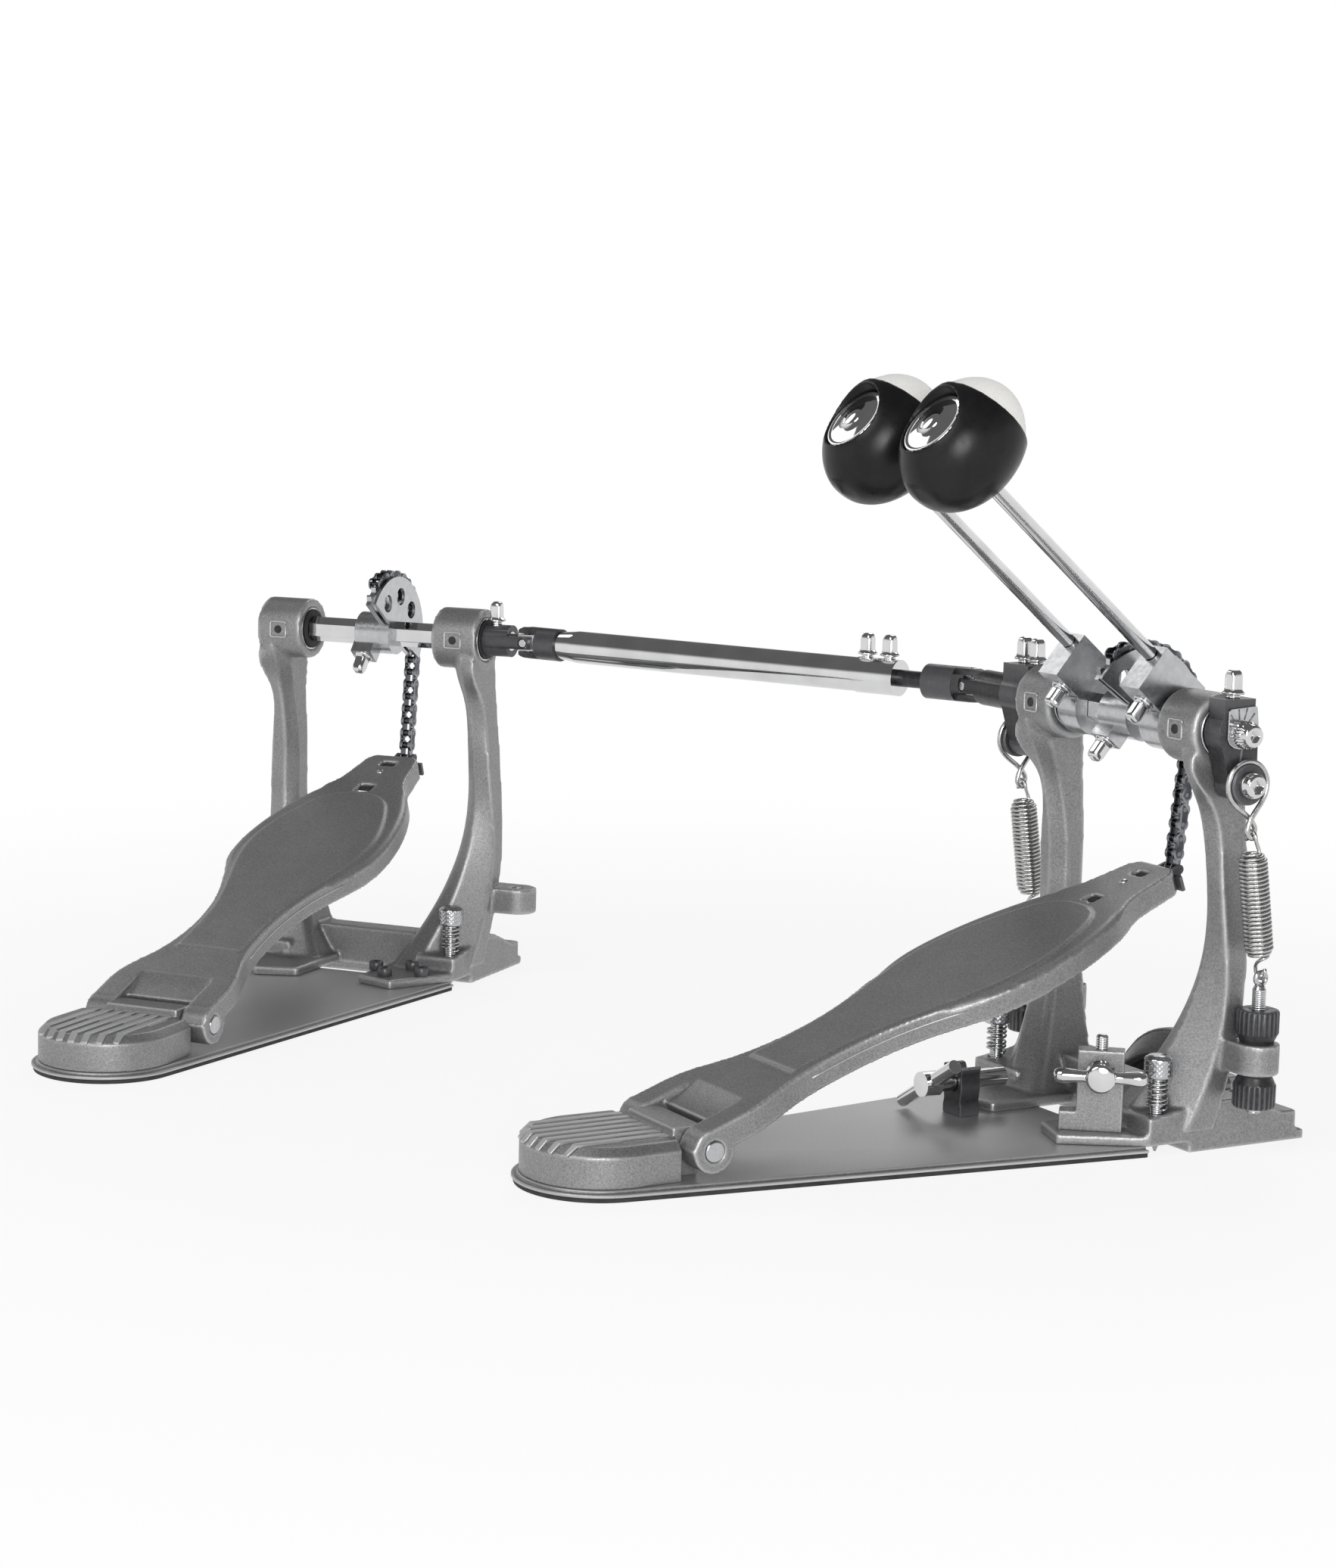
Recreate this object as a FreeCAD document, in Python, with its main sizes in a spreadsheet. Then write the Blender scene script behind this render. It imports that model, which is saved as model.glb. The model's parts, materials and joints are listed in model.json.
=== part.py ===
import FreeCAD, Part
import math
import os
import re

import Sketcher
from FreeCAD import Placement, Rotation, Vector

# Double bass drum pedal: two chain-driven foot pedals joined by a telescoping universal-joint shaft.
# Each pedal is built in its own frame: X to the right, Y from heel to drum, Z up, with the origin on the
# floor under the middle of its axle. The right (main) pedal's frame is the frame of the whole part.

SIZES = {
    # Axle, hubs and bearings
    "axle_height": 176.0,
    "hub_center": 49.5,
    "hub_radius": 15.25,
    "hub_length": 24.4,
    "bearing_radius": 11.0,
    "bearing_width": 7.0,
    "bearing_sink": 0.3,
    "journal_radius": 5.0,
    "axle_flats": 11.0,
    "hub_throat_gap": 3.0,
    "left_shift": 9.0,
    # Fits
    "running_gap": 0.05,
    "part_gap": 0.3,
    # Base plate, mat and heel plate
    "heel_radius": 33.5,
    "heel_center": 248.5,
    "heel_shift": 4.0,
    "plate_front": 24.5,
    "plate_front_half": 62.0,
    "mat_thick": 2.0,
    "mat_inset": 0.8,
    "plate_lip_thick": 1.4,
    "plate_deck_thick": 1.1,
    "plate_deck_inset": 2.2,
    "cap_lip": 3.0,
    "cap_front_half": 30.0,
    "cap_front": 227.0,
    "cap_top": 20.5,
    "cap_bevel": 3.5,
    "rib_count": 7.0,
    "rib_pitch": 6.2,
    "rib_width": 3.4,
    "rib_height": 0.8,
    "rib_end_gap": 5.0,
    # Heel hinge and footboard
    "pivot_back": 215.6,
    "pivot_height": 16.6,
    "pin_radius": 4.2,
    "ear_radius": 9.0,
    "ear_inner": 18.5,
    "ear_outer": 31.5,
    "boss_radius": 7.5,
    "board_tilt": 20.2,
    "board_top": 9.8,
    "board_skirt": 11.5,
    "board_wall": 3.0,
    "board_panel_step": 1.0,
    "board_panel_margin": 7.0,
    "board_panel_share": 0.72,
    "board_waist_at": 68.0,
    "board_waist_half": 19.5,
    "board_wide_at": 158.0,
    "board_wide_half": 39.5,
    "board_shoulder_half": 34.0,
    "board_shoulder_run": 31.0,
    "board_hollow": 1.5,
    "board_ear_run": 14.4,
    "board_swell": 1.8,
    "board_swell_run": 22.0,
    "board_neck_at": 231.0,
    "board_neck_half": 16.8,
    "board_length": 250.0,
    "board_shift": 3.0,
    "toe_half": 14.5,
    "toe_chamfer": 4.0,
    "scoop_radius": 46.0,
    "scoop_depth": 4.0,
    "toe_slot_length": 8.0,
    "toe_slot_width": 5.0,
    "toe_slot_back": 6.5,
    "notch_width": 8.0,
    "notch_length": 7.0,
    "notch_back": 32.0,
    # Casting
    "leg_drawn_height": 176.0,
    "leg_mid_height": 100.0,
    "leg_rear_mid": 5.0,
    "leg_front_mid": 17.0,
    "leg_rear_bow": 12.8,
    "leg_front_bow": 4.0,
    "leg_bow_span": 60.0,
    "leg_inner": 48.5,
    "leg_outer": 60.8,
    "leg_splay": 5.4,
    "leg_splay_top": 140.0,
    "leg_splay_low": 60.0,
    "leg_flare": 34.0,
    "leg_flare_height": 95.0,
    "leg_rear_bevel": 3.0,
    "leg_outer_bevel": 20.0,
    "leg_ridge_share": 0.4,
    "leg_ridge": 3.0,
    "leg_outer_edge": 1.0,
    "foot_inner": 36.0,
    "foot_outer": 58.0,
    "foot_rear": 25.0,
    "foot_front": 53.0,
    "foot_rear_top": 16.2,
    "foot_mid_top": 21.0,
    "foot_front_top": 13.0,
    "flange_thick": 4.5,
    "flange_reach": 57.2,
    "flange_corner": 38.3,
    "flange_inner": 17.0,
    "sole_rear": 4.0,
    "sole_front": 57.0,
    "wall_rear": 6.0,
    "wall_front": 8.0,
    "wall_top": 24.0,
    "lug_x": 74.3,
    "lug_y": 15.1,
    "lug_bottom": 35.5,
    "lug_top": 48.5,
    "lug_radius": 9.5,
    "lug_bore": 3.25,
    # Spurs
    "spur_x": 52.3,
    "spur_y": 17.4,
    "spur_shank": 2.9,
    "spur_head_radius": 6.0,
    "spur_head_height": 9.2,
    "spur_head_gap": 14.0,
    "spur_tip": 1.0,
    "spur_tip_length": 5.0,
    "spur_wire": 1.1,
    "spur_coil_radius": 4.0,
    "spur_turns": 4.0,
    "spur_travel": 12.0,
    # Sprocket and chain
    "chain_pitch": 6.35,
    "chain_x": 6.0,
    "tooth_count": 29.0,
    "roller_radius": 1.65,
    "roller_width": 3.2,
    "link_plate": 0.8,
    "link_height": 5.6,
    "link_waist": 4.2,
    "chain_pin": 0.95,
    "wrap_links": 10.0,
    "sprocket_width": 2.6,
    "tooth_tip": 2.0,
    "sprocket_hub_radius": 10.5,
    "sprocket_hub_left": 8.0,
    "sprocket_hub_right": 11.1,
    "cam_front": 30.0,
    "cam_rear": 145.0,
    "cam_flange_radius": 29.1,
    "cam_flange_thick": 1.6,
    "cam_bolt_x": 3.0,
    "cam_lug_half": 5.6,
    "web_hole_radius": 4.4,
    "web_hole_count": 4.0,
    "toe_bar_thick": 1.6,
    "toe_bar_half": 11.0,
    "toe_bar_height": 6.5,
    "anchor_drop": 6.5,
    "cheek_thick": 1.6,
    # Beaters
    "beater_x": 28.0,
    "beater_lean": 50.3,
    "beater_offset": 14.0,
    "beater_reach": 157.0,
    "beater_rod": 3.1,
    "hub_block_half": 6.5,
    "hub_block_long": 27.0,
    "hub_block_high": 18.6,
    "hub_block_foot": 3.0,
    "hub_ring": 12.0,
    "head_radius": 23.4,
    "head_belly": 4.0,
    "head_half_long": 30.0,
    "head_back": 24.4,
    "head_front": 18.0,
    "head_disc_radius": 14.5,
    "head_disc_thick": 2.0,
    "head_disc_at": 14.6,
    "felt_radius": 22.4,
    "felt_thick": 13.7,
    # Key bolts
    "bolt_radius": 2.95,
    "bolt_collar": 4.6,
    "bolt_collar_thick": 1.8,
    "bolt_square": 4.6,
    "bolt_square_high": 8.0,
    # Rockers, links, springs
    "rocker_thick": 9.4,
    "rocker_radius": 10.0,
    "rocker_top": 14.0,
    "rocker_top_half": 8.0,
    "rocker_arm_y": 3.5,
    "rocker_arm_drop": 20.5,
    "rocker_arm_radius": 7.0,
    "link_loop_radius": 9.5,
    "link_wire": 1.1,
    "link_drop": 19.0,
    "link_foot_radius": 3.0,
    "link_opening": 1.5,
    "cap_screw_radius": 3.0,
    "link_bush_half": 1.4,
    "cap_head_radius": 5.6,
    "cap_head_thick": 5.0,
    "spring_wire": 0.75,
    "spring_radius": 5.3,
    "spring_neck_radius": 3.4,
    "spring_pitch": 2.1,
    "spring_lead": 9.2,
    "hook_radius": 2.9,
    "hook_rise": 5.6,
    "rod_radius": 2.9,
    "rod_eye_height": 78.0,
    "rod_eye_radius": 1.6,
    "rod_eye_flat": 2.6,
    "rod_eye_cap": 3.6,
    "rod_bottom": 19.0,
    "nut_radius": 8.8,
    "nut_neck_radius": 7.2,
    "nut_height": 10.5,
    "nut_neck": 3.5,
    # Second pedal's place and the drive shaft
    "slave_yaw": 38.377,
    "slave_x": -413.75,
    "slave_y": -159.64,
    "joint_out": 84.5,
    "main_joint_out": 112.5,
    "yoke_radius": 8.0,
    "yoke_throat": 8.8,
    "yoke_end": 4.0,
    "yoke_slot_half": 4.5,
    "yoke_arm_half": 3.1,
    "cross_half": 4.1,
    "cross_pin": 2.0,
    "cross_play": 0.35,
    "tube_radius": 8.0,
    "tube_start": 21.0,
    "tube_end_gap": 40.0,
    "tube_cone": 12.0,
    "tube_cone_radius": 6.8,
    "tube_collar": 22.0,
    "tube_collar_step": 0.4,
    "shaft_rod_radius": 3.9,
    "shaft_rod_inside": 42.0,
    "rod_yoke_length": 16.0,
    "tube_bolt_pitch": 12.0,
    # Hoop clamp, wing bolt
    "jaw_half": 34.0,
    "jaw_thick": 5.0,
    "jaw_y": 33.0,
    "jaw_low": 8.0,
    "jaw_side_high": 20.0,
    "jaw_mid_high": 37.0,
    "jaw_lip_half": 20.0,
    "jaw_lip_low": 14.0,
    "jaw_lip_thick": 5.0,
    "jaw_lip_reach": 54.0,
    "jaw_pin_radius": 3.0,
    "jaw_pin_height": 12.5,
    "block_x": 36.8,
    "block_y": 39.3,
    "block_turn": 52.0,
    "block_long": 26.0,
    "block_deep": 9.0,
    "block_base_high": 8.0,
    "block_column": 19.0,
    "block_top": 43.0,
    "wing_height": 34.0,
    "wing_shank": 3.0,
    "wing_hub_radius": 6.0,
    "wing_hub_long": 9.0,
    "wing_gap": 4.0,
    "wing_span": 38.0,
    "wing_radius": 2.6,
    # Drum key and its clip
    "key_x": -22.0,
    "key_height": 19.0,
    "key_front": 42.0,
    "key_back": 80.0,
    "key_shank": 4.0,
    "key_knob": 5.4,
    "key_handle": 44.0,
    "key_handle_radius": 3.0,
    "key_handle_turn": 31.0,
    "key_socket": 2.6,
    "key_socket_deep": 8.0,
    "clip_width": 13.0,
    "clip_y": 58.0,
    "clip_long": 10.0,
    "clip_top": 26.0,
    "clip_mouth": 6.4,
}

doc = FreeCAD.newDocument("DoublePedal")
sheet = doc.addObject("Spreadsheet::Sheet", "Sizes")
for row, (alias, value) in enumerate(SIZES.items(), start=1):
    sheet.set(f"A{row}", alias)
    sheet.set(f"B{row}", str(value))
    sheet.setAlias(f"B{row}", alias)
doc.recompute()


class SheetReader:
    """Gives each cell of the sheet as a plain number."""

    def __getattr__(self, alias):
        return float(sheet.get(alias))


S = SheetReader()
NODES = []
ORIGIN = Vector(0, 0, 0)
ALONG_X = Rotation(Vector(0, 1, 0), 90)
SIDES = (("left", -1), ("right", 1))
LEG_STATIONS = (0.0, 0.05, 0.11, 0.19, 0.29, 0.41, 0.55, 0.7, 0.86, 1.0)
TOOTH_ROOT_SHARE, TOOTH_TIP_SHARE = 0.3, 0.08
NECK_LEAN = 0.1


def formula(text):
    """Turns alias names into references to the sheet."""
    return re.sub(r"[a-z][a-z_]*", lambda word: "Sizes." + word[0] if word[0] in SIZES else word[0], text)


def solid(kind, name, at=("0", "0", "0"), turn=Rotation(), **formulas):
    """A primitive with its sizes and its place bound to the sheet."""
    item = doc.addObject("Part::" + kind, name)
    item.Placement = Placement(ORIGIN, turn)
    for prop, text in formulas.items():
        item.setExpression(prop, formula(text))
    for axis, text in zip("xyz", at):
        item.setExpression("Placement.Base." + axis, formula(text))
    return item


def hexagon(name, circumradius, height, at, turn):
    item = solid("Prism", name, at, turn, Circumradius=circumradius, Height=height)
    item.Polygon = 6
    return item


def fuse(name, *shapes):
    item = doc.addObject("Part::MultiFuse", name)
    item.Shapes = list(shapes)
    return item


def cut(name, base, *tools):
    item = doc.addObject("Part::Cut", name)
    item.Base = base
    item.Tool = tools[0] if len(tools) == 1 else fuse(name + "_tools", *tools)
    return item


def group(name, *shapes):
    item = doc.addObject("Part::Compound", name)
    item.Links = list(shapes)
    return item


def feature(name, shape):
    item = doc.addObject("Part::Feature", name)
    item.Shape = shape
    return item


def node(label, item, frame=Placement()):
    """Names a finished sub-part and puts it in its pedal's frame."""
    item.Label = label
    item.Placement = frame.multiply(item.Placement)
    NODES.append(item)
    return item


def cylinder(radius, start, end):
    return Part.makeCylinder(radius, (end - start).Length, start, end - start)


def brick(x_low, x_high, y_low, y_high, z_low, z_high):
    return Part.makeBox(x_high - x_low, y_high - y_low, z_high - z_low, Vector(x_low, y_low, z_low))


def prism(points, direction):
    return Part.Face(Part.makePolygon(points + points[:1])).extrude(direction)


def mirrored_x(shape):
    return shape.mirror(ORIGIN, Vector(1, 0, 0))


def turned(shape, center, axis, degrees):
    copy = shape.copy()
    copy.rotate(center, axis, degrees)
    return copy


def merged(shape, *others):
    return shape.fuse(list(others)).removeSplitter()


def plate_top():
    return S.mat_thick + S.plate_lip_thick + S.plate_deck_thick


PLATE_TOP = "mat_thick + plate_lip_thick + plate_deck_thick"


# Wire paths: straight runs, arcs and helices drawn as two arcs for each quarter turn

def arc_between(start, corner, end):
    """The arc from start to end whose end tangents meet at corner."""
    middle = (start + end) * 0.5
    rise = corner - middle
    half = (end - start).Length / 2
    if rise.Length < 1e-6 * half:
        return Part.LineSegment(start, end)
    sagitta = half * math.tan(math.atan2(rise.Length, half) / 2)
    return Part.Arc(start, middle + rise * (sagitta / rise.Length), end)


def biarc(start, start_way, end, end_way):
    span = end - start
    ways = start_way + end_way
    spread = 2 * (1 - start_way.dot(end_way))
    along = span.dot(ways)
    if spread < 1e-9:
        reach = span.dot(span) / (4 * span.dot(end_way))
    else:
        reach = (math.sqrt(along * along + spread * span.dot(span)) - along) / spread
    first = start + start_way * reach
    last = end - end_way * reach
    joint = (first + last) * 0.5
    return [arc_between(start, first, joint), arc_between(joint, last, end)]


def helix_stations(radii, pitch, steps_per_turn=4):
    """Points and tangents of a helix about Z whose radius changes from station to station."""
    stations = []
    for index, radius in enumerate(radii):
        angle = 2 * math.pi * index / steps_per_turn
        after = radii[min(index + 1, len(radii) - 1)]
        before = radii[max(index - 1, 0)]
        growth = (after - before) / 2 * steps_per_turn / (2 * math.pi)
        place = Vector(radius * math.cos(angle), radius * math.sin(angle), pitch * index / steps_per_turn)
        way = Vector(
            growth * math.cos(angle) - radius * math.sin(angle),
            growth * math.sin(angle) + radius * math.cos(angle),
            pitch / (2 * math.pi),
        )
        stations.append((place, way.normalize()))
    return stations


def through(stations):
    curves = []
    for (start, start_way), (end, end_way) in zip(stations, stations[1:]):
        curves += biarc(start, start_way, end, end_way)
    return curves


def wire_solid(curves, radius):
    """Sweeps a round wire along connected curves."""
    path = Part.Wire([curve.toShape() for curve in curves])
    start = curves[0].value(curves[0].FirstParameter)
    way = curves[0].tangent(curves[0].FirstParameter)[0]
    section = Part.Wire(Part.makeCircle(radius, start, way))
    return path.makePipeShell([section], True, False)


def least_gap(curves, radius, reach):
    """Smallest clear distance between stretches of one wire that are further apart than reach along it."""
    points = []
    for curve in curves:
        count = max(2, int(curve.length() / (2 * radius)) + 1)
        points += Part.Wire([curve.toShape()]).discretize(Number=count)[:-1]
    far = int(reach / (2 * radius)) + 2
    pairs = ((a, b) for i, a in enumerate(points) for b in points[i + far:])
    return min(a.distanceToPoint(b) for a, b in pairs) - 2 * radius


# Base plate, mat and heel plate: outlines round at the heel, with tapered sides and a straight front

def heel_body(name, outline, front_half, front, bottom, height):
    """A body padded from the heel outline; outline is the heel radius, the rest are formulas too."""
    body = doc.addObject("PartDesign::Body", name)
    sketch = body.newObject("Sketcher::SketchObject", name + "_outline")
    plane = next(item for item in body.Origin.OriginFeatures if item.Role == "XY_Plane")
    sketch.AttachmentSupport = [(plane, "")]
    sketch.MapMode = "FlatFace"
    sketch.setExpression("AttachmentOffset.Base.x", formula("-heel_shift"))
    sketch.setExpression("AttachmentOffset.Base.z", formula(bottom))
    center = Vector(0, -S.heel_center, 0)
    circle = Part.Circle(center, Vector(0, 0, 1), S.heel_radius)
    rear_right, rear_left = center + Vector(S.heel_radius, 0, 0), center - Vector(S.heel_radius, 0, 0)
    front_right = Vector(S.plate_front_half, -S.plate_front, 0)
    front_left = Vector(-S.plate_front_half, -S.plate_front, 0)
    heel, right, nose, left = sketch.addGeometry(
        [
            Part.ArcOfCircle(circle, math.pi, 2 * math.pi),
            Part.LineSegment(rear_right, front_right),
            Part.LineSegment(front_right, front_left),
            Part.LineSegment(front_left, rear_left),
        ],
        False,
    )
    start, end, middle, y_axis = 1, 2, 3, -2
    wide = 2 * S.plate_front_half
    for rule in (
        Sketcher.Constraint("Tangent", heel, end, right, start),
        Sketcher.Constraint("Tangent", heel, start, left, end),
        Sketcher.Constraint("Coincident", right, end, nose, start),
        Sketcher.Constraint("Coincident", nose, end, left, start),
        Sketcher.Constraint("Symmetric", nose, start, nose, end, y_axis),
        Sketcher.Constraint("PointOnObject", heel, middle, y_axis),
    ):
        sketch.addConstraint(rule)
    for label, rule, text in (
        ("heel", Sketcher.Constraint("Radius", heel, S.heel_radius), outline),
        ("back", Sketcher.Constraint("DistanceY", heel, middle, -1, 1, S.heel_center), "heel_center"),
        ("front", Sketcher.Constraint("DistanceY", nose, start, -1, 1, S.plate_front), front),
        ("width", Sketcher.Constraint("DistanceX", nose, end, nose, start, wide), f"2 * ({front_half})"),
    ):
        index = sketch.addConstraint(rule)
        sketch.renameConstraint(index, label)
        sketch.setExpression("Constraints." + label, formula(text))
    pad = body.newObject("PartDesign::Pad", name + "_pad")
    pad.Profile = sketch
    pad.setExpression("Length", formula(height))
    return body


def build_base(pedal, frame):
    """Rubber mat, stepped plate and ribbed heel plate with its hinge boss and pin."""
    mat = heel_body(
        pedal + "_mat",
        "heel_radius - mat_inset",
        "plate_front_half - mat_inset",
        "plate_front",
        "0",
        "mat_thick",
    )
    node(pedal + "_base_mat", mat, frame)
    lip = heel_body(
        pedal + "_plate_lip", "heel_radius", "plate_front_half", "plate_front", "mat_thick", "plate_lip_thick"
    )
    deck = heel_body(
        pedal + "_plate_deck",
        "heel_radius - plate_deck_inset",
        "plate_front_half - plate_deck_inset",
        "plate_front",
        "mat_thick + plate_lip_thick",
        "plate_deck_thick",
    )
    node(pedal + "_base_plate", fuse(pedal + "_plate", lip, deck), frame)

    cap = heel_body(
        pedal + "_cap",
        "heel_radius - cap_lip",
        "cap_front_half",
        "cap_front",
        PLATE_TOP,
        f"cap_top - ({PLATE_TOP})",
    )
    doc.recompute()
    rim = [
        index
        for index, edge in enumerate(cap.Shape.Edges, start=1)
        if min(vertex.Z for vertex in edge.Vertexes) > S.cap_top - 1e-4
        and min(vertex.Y for vertex in edge.Vertexes) < -S.cap_front - 1e-4
    ]
    pad = cap.Tip
    bevel = cap.newObject("PartDesign::Chamfer", pedal + "_cap_bevel")
    bevel.Base = (pad, [f"Edge{index}" for index in rim])
    bevel.setExpression("Size", formula("cap_bevel"))
    ribs = []
    for index in range(int(S.rib_count)):
        shift = index - (S.rib_count - 1) / 2
        ribs.append(
            solid(
                "Box",
                f"{pedal}_rib_{index}",
                (f"{shift} * rib_pitch - rib_width / 2 - heel_shift", "-heel_center", "cap_top"),
                Length="rib_width",
                Width="heel_center - cap_front - rib_end_gap",
                Height="rib_height",
            )
        )
    tongue = solid(
        "Box",
        pedal + "_tongue",
        ("part_gap - ear_inner", "-cap_front", PLATE_TOP),
        Length="2 * (ear_inner - part_gap)",
        Width="cap_front - pivot_back",
        Height=f"pivot_height + boss_radius - ({PLATE_TOP})",
    )
    boss = solid(
        "Cylinder",
        pedal + "_boss",
        ("part_gap - ear_inner", "-pivot_back", "pivot_height"),
        ALONG_X,
        Radius="boss_radius",
        Height="2 * (ear_inner - part_gap)",
    )
    bore = solid(
        "Cylinder",
        pedal + "_pin_bore",
        ("-ear_outer", "-pivot_back", "pivot_height"),
        ALONG_X,
        Radius="pin_radius",
        Height="2 * ear_outer",
    )
    heel = cut(pedal + "_heel", fuse(pedal + "_heel_solid", cap, *ribs, tongue, boss), bore)
    node(pedal + "_heel_plate", heel, frame)
    pin = solid(
        "Cylinder",
        pedal + "_pin",
        ("-ear_outer - part_gap", "-pivot_back", "pivot_height"),
        ALONG_X,
        Radius="pin_radius",
        Height="2 * (ear_outer + part_gap)",
    )
    node(pedal + "_heel_pin", group(pedal + "_hinge", pin), frame)


# Casting: two bowed legs with bearing hubs, on feet joined by a low wall and a sole plate

def leg_section(height, foot_outer):
    """One horizontal slice of the right leg: ridged rear face, beveled corners, flared towards the foot.

    Its curves are drawn for one height of axle and stretch with it.
    """
    level = height * S.leg_drawn_height / S.axle_height
    bow = ((level - S.leg_mid_height) / S.leg_bow_span) ** 2
    rear = S.leg_rear_mid - S.leg_rear_bow * bow
    front = S.leg_front_mid - S.leg_front_bow * bow
    flare = max(0.0, S.leg_flare_height - level) / S.leg_flare_height
    inner = S.leg_inner - S.leg_flare * flare ** 2
    drop = (S.leg_splay_top - level) / (S.leg_splay_top - S.leg_splay_low)
    outer = S.leg_outer + S.leg_splay * min(1.0, max(0.0, drop))
    outer += (foot_outer - outer) * flare ** 2
    ridge = inner + S.leg_ridge_share * (outer - inner)
    corners = [
        (inner + S.leg_rear_bevel, rear),
        (ridge, rear - S.leg_ridge),
        (outer, rear - S.leg_outer_edge + S.leg_outer_bevel * flare),
        (outer, front),
        (inner, front),
        (inner, rear + S.leg_rear_bevel),
    ]
    return Part.makePolygon([Vector(x, y, height) for x, y in corners + corners[:1]])


def hub_outer():
    return S.hub_center + S.hub_length / 2


def hub_inner():
    return S.hub_center - S.hub_length / 2


def half_casting(shift):
    """Leg, hub, foot, rear flange and spring lug of the right side, its foot and lug moved out by shift."""
    top = S.axle_height - S.hub_radius / 2
    low = plate_top() + S.flange_thick
    foot_outer = S.foot_outer + shift
    lug_x = S.lug_x + shift
    stations = [low + (top - low) * share for share in LEG_STATIONS]
    leg = Part.makeLoft([leg_section(height, foot_outer) for height in stations], True, False)
    axis = axle_frame()
    hub = cylinder(S.hub_radius, axis + Vector(hub_inner(), 0, 0), axis + Vector(hub_outer(), 0, 0))
    bottom = plate_top()
    side = [
        (-S.foot_rear, bottom),
        (-S.foot_rear, S.foot_rear_top),
        (S.lug_y - S.lug_radius, S.foot_mid_top),
        (S.lug_y + S.lug_radius, S.foot_mid_top),
        (S.foot_front - S.foot_mid_top + S.foot_front_top, S.foot_front_top),
        (S.foot_front, S.foot_front_top),
        (S.foot_front, bottom),
    ]
    foot = prism([Vector(S.foot_inner, y, z) for y, z in side], Vector(foot_outer - S.foot_inner, 0, 0))
    flange = prism(
        [
            Vector(foot_outer, -S.foot_rear, bottom),
            Vector(S.flange_corner, -S.flange_reach, bottom),
            Vector(S.flange_inner, -S.flange_reach + (S.flange_corner - S.flange_inner) / 3, bottom),
            Vector(S.flange_inner, -S.sole_rear, bottom),
            Vector(foot_outer, -S.sole_rear, bottom),
        ],
        Vector(0, 0, S.flange_thick),
    )
    lug_base = Vector(lug_x, S.lug_y, S.lug_bottom)
    near, far = S.lug_y - S.lug_radius, S.lug_y + S.lug_radius
    lug = merged(
        cylinder(S.lug_radius, lug_base, lug_base + Vector(0, 0, S.lug_top - S.lug_bottom)),
        brick(S.leg_inner + S.leg_rear_bevel, lug_x, near, far, S.lug_bottom, S.lug_top),
    )
    return merged(leg, hub, foot, flange, lug)


def half_bores(shift):
    """Bearing seats and throat of the hub, lug bore, spur bore and room for the spur of the right side."""
    axis = axle_frame()
    seat = S.bearing_width + S.bearing_sink
    inner, outer = axis + Vector(hub_inner(), 0, 0), axis + Vector(hub_outer(), 0, 0)
    depth = Vector(seat, 0, 0)
    seats = [
        cylinder(S.bearing_radius, inner, inner + depth),
        cylinder(S.bearing_radius, outer, outer - depth),
    ]
    throat = cylinder(S.journal_radius + S.hub_throat_gap, inner, outer)
    lug_base = Vector(S.lug_x + shift, S.lug_y, S.lug_bottom)
    lug_bore = cylinder(S.lug_bore, lug_base, lug_base + Vector(0, 0, S.lug_top - S.lug_bottom))
    spur = Vector(S.spur_x + shift, -S.spur_y, 0)
    spur_bore = cylinder(S.spur_shank + S.running_gap, spur, spur + Vector(0, 0, S.foot_mid_top))
    seat_top = spur + Vector(0, 0, spur_seat())
    head_top = Vector(0, 0, S.spur_head_gap + S.spur_head_height + S.spur_travel)
    spur_room = cylinder(S.spur_head_radius + S.part_gap, seat_top, seat_top + head_top)
    return [*seats, throat, lug_bore, spur_bore, spur_room]


def casting_shape():
    left, right = mirrored_x(half_casting(S.left_shift)), half_casting(0.0)
    wall = brick(-S.foot_inner, S.foot_inner, -S.wall_rear, S.wall_front, plate_top(), S.wall_top)
    sole = brick(-S.foot_outer - S.left_shift, S.foot_outer, -S.sole_rear, S.sole_front, 0, plate_top())
    body = merged(right, left, wall, sole)
    bores = half_bores(0.0) + [mirrored_x(bore) for bore in half_bores(S.left_shift)]
    return body.cut(bores).removeSplitter()


def clamp_lugs():
    """Two ears on the main pedal's sole plate that carry the hoop clamp's pivot."""
    ears = []
    for side in (-1, 1):
        near = side * (S.jaw_half + S.part_gap)
        far = side * S.foot_inner
        ears.append(
            brick(
                min(near, far),
                max(near, far),
                S.jaw_y,
                S.jaw_y + S.jaw_thick,
                plate_top(),
                S.jaw_pin_height + S.jaw_pin_radius * 2,
            )
        )
    return ears


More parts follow.
